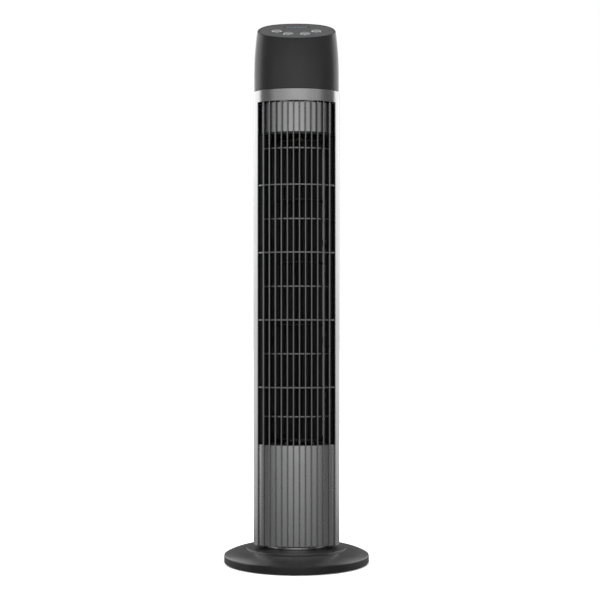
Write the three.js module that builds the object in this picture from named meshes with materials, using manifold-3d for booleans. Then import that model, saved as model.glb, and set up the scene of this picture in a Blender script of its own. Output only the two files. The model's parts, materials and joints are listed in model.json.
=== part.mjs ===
// Tower fan: a round weighted base, a turning column with a cross-flow impeller behind an
// upright grille, and a slanted control head. Millimetres, +Z up, the front faces -Y, and the
// origin is on the floor under the middle of the base.
import * as THREE from "three";
import { mergeVertices } from "three/addons/utils/BufferGeometryUtils.js";
import Module from "manifold-3d";

const wasm = await Module();
wasm.setup();

// ---------------------------------------------------------------- driving dimensions

const GAP = 0.3; // between pieces that touch on the real object
const RUNNING = 0.4; // round a turning or sliding piece
const OVERCUT = 2; // how far a cutting tool runs past the face it cuts
const FAR = 200; // beyond every side of the column
const BITE = 0.2; // how far a joined block sinks into what it stands on

// Base
const FOOT_HEIGHT = 2;
const FOOT_RADIUS = 13;
const FOOT_COUNT = 5;
const FOOT_SEAT = 1.2; // depth of the pocket that holds a foot
const FOOT_CHAMFER = 0.6;
const FOOT_CIRCLE_INSET = 20.5; // base rim to foot centre
const BASE_RADIUS = 121.5;
const BASE_RIM_HEIGHT = 11.4;
const BASE_RIM_ROUND = 1.4;
const BASE_DOME_RISE = 10.2;
const BASE_DOME_WIDTH = 37.5; // rim to the raised ring
const RING_STEP = 1.9;
const RING_CHAMFER = 1.1;
const RING_DRAFT = 0.2;
const PLATEAU_RISE = 2.2; // from the ring to the neck
const BASE_WALL = 2.6;
const BASE_PLATE_THICKNESS = 3;
const BALLAST_THICKNESS = 7;
const BALLAST_WIDTH = 44;
const BALLAST_RIM_CLEARANCE = 9;
const BASE_SCREW_COUNT = 4;
const BASE_SCREW_CIRCLE = 58;
const BASE_BOSS_RADIUS = 5;
const BASE_SCREW_LENGTH = 14;

// Swivel
const POST_RADIUS = 15;
const POST_BORE = 10;
const POST_FLANGE_RADIUS = 32;
const POST_FLANGE_THICKNESS = 3;
const POST_SCREW_COUNT = 3;
const POST_SCREW_CIRCLE = 24;
const POST_SCREW_LENGTH = 7;
const POST_SCREW_SKIN = 1; // cover left over the end of a post screw
const WASHER_OUTER = 34;
const WASHER_INNER = 20;
const WASHER_THICKNESS = 1.6;
const NECK_RADIUS = 50.4;
const NECK_SKIRT = 4.4;
const NECK_HEIGHT = 4.2;
const NECK_PLATE = 2.1;
const NECK_CHAMFER = 0.8;
const NECK_DRAFT = 1;
const GEAR_MODULE = 1.5;
const SUN_TEETH = 30;
const PINION_TEETH = 10;
const GEAR_THICKNESS = 6;
const GEAR_BACKLASH = 0.35;
const TOOTH_RISE = 0.8; // modules outside the pitch circle
const TOOTH_FALL = 1.1; // modules inside it
const TOOTH_ROOT = 0.36; // half a tooth's root, as a share of the pitch
const TOOTH_TIP = 0.13;
const RETAINER_THICKNESS = 2;
const RETAINER_WIDTH = 6;

// Column
const COLUMN_HALF_WIDTH = 71.5;
const FRONT_REACH = 37; // widest line to the front of the column
const WIDEST_Y = -16.8;
const WALL = 2.5;
const LOWER_PANEL_HEIGHT = 167;
const GRILLE_HEIGHT = 565.6;
const BAND_HEIGHT = 19.5;
const STRIP_WIDTH = 7.3; // side strip beside the grille
const FLOOR_THICKNESS = 3;
const RIB_COUNT = 12;
const RIB_WIDTH = 2.4;
const RIB_DEPTH = 6;
const RIB_SET_BACK = 0.8; // rib front behind the column's skin
const RIB_PROUD = 1.6; // rib in front of the lower panel
const BAR_HEIGHT = 2.5;
const BAR_SET_BACK = 1.6;
const BAR_COUNT = 4;
const FIRST_BAR_RISE = 94.7; // lower panel's top edge to the first cross bar
const BAR_PITCH = 111.2;
const PANEL_WALL = 2.2;
const UPPER_PANEL_HEIGHT = 50;
const UPPER_PANEL_SIDE_GAP = 3; // opening's edge to the panel's
const INTAKE_SPLITS = 24; // flats round the rear half
const INTAKE_COLUMNS = 12;
const INTAKE_ROWS = 3;
const INTAKE_SLOT_WIDTH = 5;
const INTAKE_ROW_GAP = 9;
const INTAKE_MARGIN = 10;

// Cross-flow fan
const IMPELLER_RADIUS = 41;
const IMPELLER_X = 5;
const IMPELLER_FRONT_ROOM = 4; // guide bars to the wheel
const IMPELLER_REAR_ROOM = 9.2; // wheel to the rear wall
const IMPELLER_CLEARANCE = 4.5;
const IMPELLER_END_GAP = 8;
const IMPELLER_CELLS = [0.835, 1, 1, 1, 0.94]; // relative heights of the wheel's cells
const DISC_THICKNESS = 1.8;
const BLADE_COUNT = 10;
const BLADE_CHORD = 10;
const BLADE_THICKNESS = 1.3;
const BLADE_SLANT = 28; // degrees from the radius
const BLADE_INSET = 0.6; // disc's rim to the blades
const SHAFT_RADIUS = 4;
const SHAFT_CHAMFER = 0.6;
const SHAFT_PROUD = 1.5; // out of the upper bush
const SHAFT_TAIL = 3; // out of the motor's underside
const SHAFT_END_ROOM = 1; // hub's inner face to the shaft's end
const HUB_RADIUS = 8.5;
const HUB_LENGTH = 12;
const DUCT_WALL = 2;
const SCROLL_LIP_INSET = 11; // side strip to the scroll's front lip
const TONGUE_LIP_INSET = 5.4;
// The scroll's line round the wheel: degrees, and mm beyond the wheel's clearance
const SCROLL_LINE = [[196, 7], [172, 4], [142, 1.5], [112, 0]];
const TONGUE_LINE = [[-14, 2], [-2, 0], [10, 2]];
const FLANGE_REACH = 2.6; // side strip's edge to the end of a duct wall's flange, behind the strip
const FLANGE_DROP = 9; // front lip back to that end
const GUIDE_BAR_HEIGHT = 2.5;
const GUIDE_BAR_DEPTH = 2.6;
const END_GUIDE_RISE = 46.8; // lower panel to the lowest guide bar
const END_GUIDE_DROP = 43.5; // upper panel to the highest guide bar
const GUIDE_BAR_SET_BACK = 8.2;
const PLATE_THICKNESS = 3;
const MOTOR_RADIUS = 32;
const MOTOR_HEIGHT = 42;
const MOTOR_NOSE = 13; // radius of the raised middle under the motor
const MOTOR_NOSE_HEIGHT = 5;
const MOTOR_EDGE = 3;
const MOTOR_SCREW_COUNT = 3;
const MOTOR_SCREW_CIRCLE = 25;
const MOTOR_SCREW_LENGTH = 12;
const MOTOR_SCREW_DEPTH = 9;
const MOTOR_BORE_ROOM = 3; // hub to the plate's bore
const BUSH_RADIUS = 9;
const BUSH_LENGTH = 8;
const BUSH_COLLAR = 11;
const BUSH_COLLAR_THICKNESS = 1.5;

// Swing drive and main board
const SWING_MOTOR_RADIUS = 17.5;
const SWING_MOTOR_HEIGHT = 15;
const SWING_POST_RADIUS = 3.5;
const SWING_POST_REACH = 21;
const SWING_EAR_THICKNESS = 1.6;
const PINION_SHAFT_RADIUS = 2.5;
const BOARD_WIDTH = 62;
const BOARD_HEIGHT = 52;
const BOARD_THICKNESS = 1.6;
const BOARD_Y = 34;
const BOARD_RISE = 40; // column floor to the board
// Blocks on the main board: left, bottom, width, height, depth
const BOARD_BLOCKS = [[6, 8, 16, 16, 14], [28, 3, 16, 8, 8], [27, 22, 14, 10, 2]];
const CAPACITOR = { radius: 6, length: 12, across: 50, up: 36 };

// Rear fittings
const HANDLE_HALF_WIDTH = 38;
const HANDLE_HEIGHT = 34;
const HANDLE_DEPTH = 25;
const HANDLE_WALL = 2;
const HANDLE_CORNER = 8;
const HANDLE_RISE = 22; // bearing plate to the handle cup
const GLAND_RADIUS = 8;
const GLAND_BORE = 3.6;
const GLAND_COLLAR = 11;
const GLAND_RISE = 22; // column floor to the cord inlet
const GLAND_LENGTH = 15;
const GLAND_PROUD = 2.8;
const GLAND_CHAMFER = 1.2;
const SCREW_RADIUS = 1.6;
const SCREW_HEAD_RADIUS = 3.6;
const SCREW_HEAD_HEIGHT = 1.8;
const SHELL_SCREW_X = 30;
const SHELL_SCREW_RISE = 12; // screws from the ends of the rear shell
const SHELL_BOSS_RADIUS = 5.4;
const SHELL_BOSS_LENGTH = 7;
const SHELL_SCREW_LENGTH = 16;
const LUG_DEPTH = 9;

// Head
const HEAD_INSET = 1.1; // head inside the column's skin
const HEAD_WALL = 2.2;
const HEAD_STRAIGHT = 27; // height over which the sides stay upright
const HEAD_TAPER_HEIGHT = 77;
const HEAD_TAPER = 5.4; // how far the sides come in over that height
const HEAD_HEIGHT = 126;
const HEAD_BACK_START = 55; // where the back begins to round over
const HEAD_RIDGE_REACH = 38.7; // widest line to the ridge behind the control face
const FACE_TILT = 30.74; // degrees
const FACE_CENTRE_Y = -14.25;
const FACE_CENTRE_RISE = 104.1; // head seam to the middle of the control face
const FACE_RECESS = 0.4;
const FACE_THICKNESS = 2.5;
const LEDGE_WIDTH = 3;
const LEDGE_THICKNESS = 1.6;
const LEDGE_BITE = 0.4;
const SPIGOT_DEPTH = 9;
const SPIGOT_WALL = 2;
const SPIGOT_LAP = 4; // inside the head
const HEAD_OVERRUN = 6; // how far the sides run on above the face before they are cut
const BUTTON_RADIUS = 8.3;
const BUTTON_PROUD = 0.8;
const BUTTON_ROUND = 0.7;
const BUTTON_DISH = 0.2;
const BUTTON_FLANGE = 1.3;
const BUTTON_FLANGE_THICKNESS = 1;
const BUTTON_STEM_RADIUS = 2.2;
const BUTTON_STEM_LENGTH = 2.3;
const BUTTON_TRAVEL = 1;
const SWITCH_RADIUS = 3.2;
const SWITCH_HEIGHT = 2.6;
const OUTER_BUTTON = { x: 33, along: -2.9 };
const INNER_BUTTON = { x: 14, along: -17.4 };
const CONTROL_BOARD_HALF_WIDTH = 50;
const CONTROL_BOARD_FRONT = -24;
const CONTROL_BOARD_BACK = 26;
const CONTROL_BOARD_CORNER = 16;
const LENS_HALF_WIDTH = 22;
const LENS_HEIGHT = 5;
const LENS_ALONG = 20.4;

// How finely round things are cut
const ROUND_BASE = 40;
const ROUND_MEDIUM = 24;
const ROUND_SMALL = 12;
const ROUND_SCREW = 8;
const FRONT_SPLITS = 24;

// ---------------------------------------------------------------- sizes worked out

const RIM_TOP = FOOT_HEIGHT + BASE_RIM_HEIGHT;
const DOME_RADIUS = BASE_RADIUS - BASE_DOME_WIDTH;
const DOME_TOP = RIM_TOP + BASE_DOME_RISE;
const RING_TOP = DOME_TOP + RING_STEP;
const PLATEAU_TOP = RING_TOP + PLATEAU_RISE;
const WASHER_TOP = PLATEAU_TOP + GAP + WASHER_THICKNESS;
const NECK_BOTTOM = PLATEAU_TOP + RUNNING;
const NECK_TOP = NECK_BOTTOM + NECK_HEIGHT;
const COLUMN_BOTTOM = NECK_TOP + GAP;
const FLOOR_TOP = COLUMN_BOTTOM + FLOOR_THICKNESS;
const GRILLE_BOTTOM = COLUMN_BOTTOM + LOWER_PANEL_HEIGHT;
const GRILLE_TOP = GRILLE_BOTTOM + GRILLE_HEIGHT;
const COLUMN_TOP = GRILLE_TOP + BAND_HEIGHT;
const HEAD_BOTTOM = COLUMN_TOP + GAP;

const IMPELLER_Y =
  WIDEST_Y - FRONT_REACH + GUIDE_BAR_SET_BACK + GUIDE_BAR_DEPTH + IMPELLER_FRONT_ROOM + IMPELLER_RADIUS;
// Widest line to the rear of the column, which is built round the wheel.
const REAR_REACH = IMPELLER_Y + IMPELLER_RADIUS + IMPELLER_REAR_ROOM + WALL - WIDEST_Y;

const OPENING_HALF_WIDTH = COLUMN_HALF_WIDTH - STRIP_WIDTH;
const RIB_PITCH = (2 * OPENING_HALF_WIDTH) / (RIB_COUNT + 1);
const PANEL_SET_BACK = RIB_SET_BACK + RIB_PROUD + GAP;
const PANEL_BACK = PANEL_SET_BACK + PANEL_WALL;
const RIB_BACK = RIB_SET_BACK + RIB_DEPTH;

const DUCT_FLOOR_TOP = GRILLE_BOTTOM - GAP;
const DUCT_FLOOR_BOTTOM = DUCT_FLOOR_TOP - PLATE_THICKNESS;
const BEARING_PLATE_TOP = GRILLE_TOP - UPPER_PANEL_HEIGHT - GAP;
const BEARING_PLATE_BOTTOM = BEARING_PLATE_TOP - PLATE_THICKNESS;
const IMPELLER_BOTTOM = DUCT_FLOOR_TOP + IMPELLER_END_GAP;
const IMPELLER_TOP = BEARING_PLATE_BOTTOM - IMPELLER_END_GAP - 2 * GAP;
const MOTOR_TOP = DUCT_FLOOR_BOTTOM - GAP;
const MOTOR_BOTTOM = MOTOR_TOP - MOTOR_HEIGHT;

const SUN_RADIUS = (GEAR_MODULE * SUN_TEETH) / 2;
const PINION_RADIUS = (GEAR_MODULE * PINION_TEETH) / 2;
const SWING_AXIS_Y = -(SUN_RADIUS + PINION_RADIUS);
const GEAR_BOTTOM = FLOOR_TOP + RUNNING + GAP;
const GEAR_TOP = GEAR_BOTTOM + GEAR_THICKNESS;
const RETAINER_TOP = GEAR_TOP + GAP + RETAINER_THICKNESS;
const POST_TOP = RETAINER_TOP + GAP;
const SWING_MOTOR_BOTTOM = POST_TOP + 2 * GAP;

const FACE_SLOPE = THREE.MathUtils.degToRad(FACE_TILT);
const FACE_CENTRE_Z = HEAD_BOTTOM + FACE_CENTRE_RISE;
const CAP_BOTTOM = -FACE_RECESS - FACE_THICKNESS - GAP;
const STEM_BOTTOM = CAP_BOTTOM - BUTTON_FLANGE_THICKNESS - BUTTON_STEM_LENGTH;
const SWITCH_TOP = STEM_BOTTOM - BUTTON_TRAVEL - GAP;
const CONTROL_BOARD_TOP = SWITCH_TOP - SWITCH_HEIGHT;

// The matrix from the control face's own frame (x across, y up the slope, z out of it).
const FACE_MATRIX = new THREE.Matrix4()
  .makeRotationX(FACE_SLOPE)
  .setPosition(0, FACE_CENTRE_Y, FACE_CENTRE_Z);

// ---------------------------------------------------------------- finishes

const finish = (color, roughness, metalness) =>
  new THREE.MeshStandardMaterial({ color, roughness, metalness });
const GREY_METALLIC = finish(0x85878a, 0.38, 0.55);
const BLACK_PLASTIC = finish(0x1d1e20, 0.45, 0);
const FACE_PLASTIC = finish(0x3b3c3e, 0.4, 0);
const DARK_PLASTIC = finish(0x131314, 0.6, 0);
const SILVER = finish(0xc9cbce, 0.25, 0.8);
const STEEL = finish(0x9a9da1, 0.35, 1);
const ZINC_CASE = finish(0x6f7276, 0.45, 0.8);
const BRONZE = finish(0x9b6a3c, 0.4, 1);
const NYLON = finish(0xd9d6cc, 0.5, 0);
const RUBBER = finish(0x2c2c2d, 0.9, 0);
const BOARD = finish(0x1f5a35, 0.5, 0.1);
const SMOKED_LENS = finish(0x15181b, 0.12, 0);

// ---------------------------------------------------------------- shape helpers

// A closed geometry as a manifold-3d solid, turned so that its faces point out.
function solid(geometry) {
  const bare = geometry.index ? geometry.toNonIndexed() : geometry.clone();
  for (const extra of ["normal", "uv"]) bare.deleteAttribute(extra);
  const merged = mergeVertices(bare, 1e-4);
  const position = merged.attributes.position;
  const index = merged.index.array;
  const [a, b, c] = [new THREE.Vector3(), new THREE.Vector3(), new THREE.Vector3()];
  const kept = [];
  let volume = 0;
  for (let i = 0; i < index.length; i += 3) {
    const [p, q, r] = index.slice(i, i + 3);
    if (p === q || q === r || r === p) continue;
    a.fromBufferAttribute(position, p);
    b.fromBufferAttribute(position, q);
    c.fromBufferAttribute(position, r);
    volume += a.dot(b.cross(c));
    kept.push(p, q, r);
  }
  if (volume < 0) kept.reverse();
  const mesh = { numProp: 3, vertProperties: position.array, triVerts: new Uint32Array(kept) };
  return new wasm.Manifold(new wasm.Mesh(mesh));
}

const join = (...solids) => solids.reduce((all, next) => all.add(next));
const cut = (body, ...tools) => tools.reduce((left, tool) => left.subtract(tool), body);

function box(x0, x1, y0, y1, z0, z1) {
  const geometry = new THREE.BoxGeometry(x1 - x0, y1 - y0, z1 - z0);
  return solid(geometry.translate((x0 + x1) / 2, (y0 + y1) / 2, (z0 + z1) / 2));
}

function cylinder(radius, z0, z1, { x = 0, y = 0, sides = ROUND_SMALL } = {}) {
  const geometry = new THREE.CylinderGeometry(radius, radius, z1 - z0, sides);
  return solid(geometry.rotateX(Math.PI / 2).translate(x, y, (z0 + z1) / 2));
}

// A cylinder along Y from y0 to y1.
function crossCylinder(radius, y0, y1, x, z, sides = ROUND_SMALL) {
  const geometry = new THREE.CylinderGeometry(radius, radius, y1 - y0, sides);
  return solid(geometry.translate(x, (y0 + y1) / 2, z));
}

// A profile of [radius, height] pairs turned about the Z axis; it closes on itself.
function turned(profile, sides = ROUND_MEDIUM) {
  const points = [...profile, profile[0]].map(([r, z]) => new THREE.Vector2(r, z));
  return solid(new THREE.LatheGeometry(points, sides).rotateX(Math.PI / 2));
}

// An outline of [x, y] pairs raised from z0 to z1.
function prism(outline, z0, z1) {
  const shape = new THREE.Shape(outline.map(([x, y]) => new THREE.Vector2(x, y)));
  const geometry = new THREE.ExtrudeGeometry(shape, { depth: z1 - z0, bevelEnabled: false });
  return solid(geometry.translate(0, 0, z0));
}

// A closed skin over rings of [x, y, z] points that have the same number of points each.
function loft(rings) {
  const count = rings[0].length;
  const points = rings.flat();
  const index = [];
  for (let level = 0; level + 1 < rings.length; level++)
    for (let i = 0; i < count; i++) {
      const [a, b] = [level * count + i, level * count + ((i + 1) % count)];
      index.push(a, b, a + count, b, b + count, a + count);
    }
  const last = (rings.length - 1) * count;
  for (let i = 1; i + 1 < count; i++) {
    index.push(0, i + 1, i);
    index.push(last, last + i, last + i + 1);
  }
  const geometry = new THREE.BufferGeometry();
  geometry.setAttribute("position", new THREE.Float32BufferAttribute(points.flat(), 3));
  return solid(geometry.setIndex(index));
}

function polar(radius, degrees) {
  const angle = THREE.MathUtils.degToRad(degrees);
  return [radius * Math.cos(angle), radius * Math.sin(angle)];
}

// Angles in degrees, count of them, evenly round a circle from start.
const around = (count, start) => Array.from({ length: count }, (_, i) => start + (i * 360) / count);

// A solid's mesh, so that it can stand in the scene graph.
function meshOf(name, body, material) {
  const { vertProperties, triVerts } = body.getMesh();
  const geometry = new THREE.BufferGeometry();
  geometry.setAttribute("position", new THREE.BufferAttribute(vertProperties, 3));
  geometry.setIndex(new THREE.BufferAttribute(triVerts, 1));
  geometry.computeVertexNormals();
  const mesh = new THREE.Mesh(geometry, material);
  mesh.name = name;
  return mesh;
}

// A screw that stands on its tip's end of the Z axis: the head's outer face is at z = 0 and
// the shank points to +Z.
function screwBody(length) {
  return turned(
    [
      [0, 0],
      [SCREW_HEAD_RADIUS, 0],
      [SCREW_HEAD_RADIUS, SCREW_HEAD_HEIGHT],
      [SCREW_RADIUS, SCREW_HEAD_HEIGHT],
      [SCREW_RADIUS, length - SCREW_RADIUS],
      [0, length],
    ],
    ROUND_SCREW,
  );
}

// ---------------------------------------------------------------- column outline

// A point of the column's plan: degrees run anticlockwise from +X, and inset moves it inwards.
function skinPoint(degrees, inset = 0) {
  const angle = THREE.MathUtils.degToRad(degrees);
  const reach = Math.sin(angle) > 0 ? REAR_REACH : FRONT_REACH;
  const across = (COLUMN_HALF_WIDTH - inset) * Math.cos(angle);
  return [across, WIDEST_Y + (reach - inset) * Math.sin(angle)];
}

// Where the front skin stands at x, inset mm inside the column.
function frontY(x, inset = 0) {
  const share = x / (COLUMN_HALF_WIDTH - inset);
  return WIDEST_Y - (FRONT_REACH - inset) * Math.sqrt(Math.max(0, 1 - share * share));
}

// The whole plan as an outline, with flats at the rear that the intake slots are centred on.
function planOutline(inset) {
  const rear = Array.from({ length: INTAKE_SPLITS }, (_, i) => (i * 180) / INTAKE_SPLITS);
  const front = Array.from({ length: FRONT_SPLITS }, (_, i) => 180 + (i * 180) / FRONT_SPLITS);
  return [...rear, ...front].map((degrees) => skinPoint(degrees, inset));
}

// A strip of wall that follows the front skin from x0 to x1, between two insets.
function frontStrip(x0, x1, outer, inner, z0, z1, steps = FRONT_SPLITS) {
  const xs = Array.from({ length: steps + 1 }, (_, i) => x0 + ((x1 - x0) * i) / steps);
  const near = xs.map((x) => [x, frontY(x, outer)]);
  const far = xs.map((x) => [x, frontY(x, inner)]).reverse();
  return prism([...near, ...far], z0, z1);
}

// A plate across the column, clear of its walls and cut back behind the front opening.
function columnPlate(z0, z1, frontInset) {
  const reach = OPENING_HALF_WIDTH + GAP;
  const opening = frontStrip(-reach, reach, -OVERCUT, frontInset, z0 - OVERCUT, z1 + OVERCUT);
  return cut(prism(planOutline(WALL + GAP), z0, z1), opening);
}

// ---------------------------------------------------------------- base

function domeHeight(radius) {
  const share = (radius - DOME_RADIUS) / BASE_DOME_WIDTH;
  return RIM_TOP + BASE_DOME_RISE * (1 - share * share);
}

function baseCover() {
  const domeSteps = 4;
  const rimEdge = BASE_RADIUS - BASE_RIM_ROUND;
  const dome = Array.from({ length: domeSteps + 1 }, (_, i) => {
    const radius = rimEdge + ((DOME_RADIUS - rimEdge) * i) / domeSteps;
    return [radius, domeHeight(radius)];
  });
  const under = dome.map(([r, z]) => [Math.min(r, BASE_RADIUS - BASE_WALL), z - BASE_WALL]).reverse();
  const hole = POST_RADIUS + RUNNING;
  const shell = turned(
    [
      [BASE_RADIUS, FOOT_HEIGHT],
      [BASE_RADIUS, RIM_TOP - BASE_RIM_ROUND],
      ...dome,
      [DOME_RADIUS - RING_DRAFT, RING_TOP - RING_CHAMFER],
      [DOME_RADIUS - RING_CHAMFER, RING_TOP],
      [NECK_RADIUS, PLATEAU_TOP],
      [hole, PLATEAU_TOP],
      [hole, PLATEAU_TOP - BASE_WALL],
      [NECK_RADIUS, PLATEAU_TOP - BASE_WALL],
      ...under,
      [BASE_RADIUS - BASE_WALL, FOOT_HEIGHT],
    ],
    ROUND_BASE,
  );
  const bossBottom = FOOT_HEIGHT + BASE_PLATE_THICKNESS + GAP;
  const bosses = around(BASE_SCREW_COUNT, 45).map((degrees) => {
    const [x, y] = polar(BASE_SCREW_CIRCLE, degrees);
    return cylinder(BASE_BOSS_RADIUS, bossBottom, RING_TOP - BASE_WALL / 2, { x, y });
  });
  const pilots = around(BASE_SCREW_COUNT, 45).map((degrees) => {
    const [x, y] = polar(BASE_SCREW_CIRCLE, degrees);
    const radius = SCREW_RADIUS + GAP;
    return cylinder(radius, bossBottom - OVERCUT, DOME_TOP - BASE_WALL, { x, y, sides: ROUND_SCREW });
  });
  const postPilots = around(POST_SCREW_COUNT, 90).map((degrees) => {
    const [x, y] = polar(POST_SCREW_CIRCLE, degrees);
    const [radius, end] = [SCREW_RADIUS + GAP, PLATEAU_TOP - POST_SCREW_SKIN];
    return cylinder(radius, DOME_TOP - BASE_WALL, end, { x, y, sides: ROUND_SCREW });
  });
  return cut(join(shell, ...bosses), ...pilots, ...postPilots);
}

function basePlate() {
  const top = FOOT_HEIGHT + BASE_PLATE_THICKNESS;
  const disc = cylinder(BASE_RADIUS - BASE_WALL - GAP, FOOT_HEIGHT, top, { sides: ROUND_BASE });
  const pockets = around(FOOT_COUNT, -90).map((degrees) => {
    const [x, y] = polar(BASE_RADIUS - FOOT_CIRCLE_INSET, degrees);
    return cylinder(FOOT_RADIUS + GAP, 0, FOOT_HEIGHT + FOOT_SEAT, { x, y, sides: ROUND_SMALL });
  });
  const holes = around(BASE_SCREW_COUNT, 45).flatMap((degrees) => {
    const [x, y] = polar(BASE_SCREW_CIRCLE, degrees);
    const seat = FOOT_HEIGHT + SCREW_HEAD_HEIGHT + GAP;
    return [
      cylinder(SCREW_RADIUS + GAP, 0, top + OVERCUT, { x, y, sides: ROUND_SCREW }),
      cylinder(SCREW_HEAD_RADIUS + GAP, 0, seat, { x, y, sides: ROUND_SCREW }),
    ];
  });
  return cut(disc, ...pockets, ...holes);
}

function ballastRing() {
  const outer = BASE_RADIUS - BALLAST_RIM_CLEARANCE;
  const bottom = FOOT_HEIGHT + BASE_PLATE_THICKNESS + GAP;
  const top = bottom + BALLAST_THICKNESS;
  const inner = outer - BALLAST_WIDTH;
  return turned([[inner, bottom], [outer, bottom], [outer, top], [inner, top]], ROUND_BASE);
}

function foot() {
  const seat = FOOT_HEIGHT + FOOT_SEAT - GAP;
  return turned([
    [0, 0],
    [FOOT_RADIUS - FOOT_CHAMFER, 0],
    [FOOT_RADIUS, FOOT_CHAMFER],
    [FOOT_RADIUS, seat],
    [0, seat],
  ], ROUND_SMALL);
}

function pivotPost() {
  const top = PLATEAU_TOP - BASE_WALL - GAP;
  const bottom = top - POST_FLANGE_THICKNESS;
  const post = turned([
    [POST_BORE, bottom],
    [POST_FLANGE_RADIUS, bottom],
    [POST_FLANGE_RADIUS, top],
    [POST_RADIUS, top],
    [POST_RADIUS, POST_TOP],
    [POST_BORE, POST_TOP],
  ]);
  const holes = around(POST_SCREW_COUNT, 90).map((degrees) => {
    const [x, y] = polar(POST_SCREW_CIRCLE, degrees);
    const reach = { x, y, sides: ROUND_SCREW };
    return cylinder(SCREW_RADIUS + GAP, bottom - OVERCUT, top + OVERCUT, reach);
  });
  return cut(post, ...holes);
}

function swivelWasher() {
  const bottom = PLATEAU_TOP + GAP;
  return turned([
    [WASHER_INNER, bottom],
    [WASHER_OUTER, bottom],
    [WASHER_OUTER, WASHER_TOP],
    [WASHER_INNER, WASHER_TOP],
  ]);
}

// A spur gear's outline with straight-sided teeth, one tooth centred on +X.
function gearOutline(teeth, radius) {
  const tip = radius + TOOTH_RISE * GEAR_MODULE;
  const root = radius - TOOTH_FALL * GEAR_MODULE;
  const pitchAngle = 360 / teeth;
  const play = THREE.MathUtils.radToDeg(GEAR_BACKLASH / radius / 2);
  const outline = [];
  for (let tooth = 0; tooth < teeth; tooth++) {
    const centre = tooth * pitchAngle;
    const [rootHalf, tipHalf] = [pitchAngle * TOOTH_ROOT - play, pitchAngle * TOOTH_TIP - play / 2];
    outline.push(polar(root, centre - rootHalf), polar(tip, centre - tipHalf));
    outline.push(polar(tip, centre + tipHalf), polar(root, centre + rootHalf));
  }
  return outline;
}

function swingGear() {
  const body = prism(gearOutline(SUN_TEETH, SUN_RADIUS), GEAR_BOTTOM, GEAR_TOP);
  const bore = { sides: ROUND_MEDIUM };
  return cut(body, cylinder(POST_RADIUS + GAP, GEAR_BOTTOM - OVERCUT, GEAR_TOP + OVERCUT, bore));
}

function retainingRing() {
  const [inner, bottom] = [POST_RADIUS + GAP, GEAR_TOP + GAP];
  const outer = inner + RETAINER_WIDTH;
  return turned([[inner, bottom], [outer, bottom], [outer, RETAINER_TOP], [inner, RETAINER_TOP]]);
}

// ---------------------------------------------------------------- column structure

function turntable() {
  const bore = POST_RADIUS + RUNNING;
  const under = NECK_TOP - NECK_PLATE;
  const lifted = Math.max(under, WASHER_TOP + GAP);
  return turned([
    [bore, lifted],
    [NECK_RADIUS - NECK_SKIRT - NECK_DRAFT, lifted],
    [NECK_RADIUS - NECK_SKIRT, NECK_BOTTOM],
    [NECK_RADIUS, NECK_BOTTOM],
    [NECK_RADIUS, NECK_TOP - NECK_CHAMFER],
    [NECK_RADIUS - NECK_CHAMFER, NECK_TOP],
    [bore, NECK_TOP],
  ], ROUND_BASE);
}

const swingPostPlaces = () => [-1, 1].map((side) => [side * SWING_POST_REACH, SWING_AXIS_Y]);

// A lug that a shell screw bites into, standing on a plate across the column.
function screwLug(side, z0, z1) {
  const x = side * SHELL_SCREW_X;
  const face = rearY(x, WALL) - SHELL_BOSS_LENGTH - GAP;
  return box(x - SHELL_BOSS_RADIUS, x + SHELL_BOSS_RADIUS, face - LUG_DEPTH, face, z0, z1);
}

function rearY(x, inset = 0) {
  const share = x / (COLUMN_HALF_WIDTH - inset);
  return WIDEST_Y + (REAR_REACH - inset) * Math.sqrt(1 - share * share);
}

const lowScrewZ = COLUMN_BOTTOM + SHELL_SCREW_RISE;
const highScrewZ = BEARING_PLATE_TOP + SHELL_SCREW_RISE;
const shellScrewPlaces = () =>
  [lowScrewZ, highScrewZ].flatMap((z) => [-1, 1].map((side) => [side * SHELL_SCREW_X, z]));

function screwHoles(z) {
  return [-1, 1].map((side) => {
    const x = side * SHELL_SCREW_X;
    return crossCylinder(SCREW_RADIUS + GAP, 0, REAR_REACH, x, z, ROUND_SCREW);
  });
}

function columnFloor() {
  const plate = columnPlate(COLUMN_BOTTOM, FLOOR_TOP, PANEL_BACK + GAP);
  const posts = swingPostPlaces().map(([x, y]) =>
    cylinder(SWING_POST_RADIUS, COLUMN_BOTTOM, SWING_MOTOR_BOTTOM - GAP, { x, y }));
  const lugs = [-1, 1].map((side) =>
    screwLug(side, COLUMN_BOTTOM, lowScrewZ + SHELL_BOSS_RADIUS));
  const bore = cylinder(POST_RADIUS + RUNNING, 0, GRILLE_BOTTOM, { sides: ROUND_MEDIUM });
  return cut(join(plate, ...posts, ...lugs), bore, ...screwHoles(lowScrewZ));
}

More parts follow.
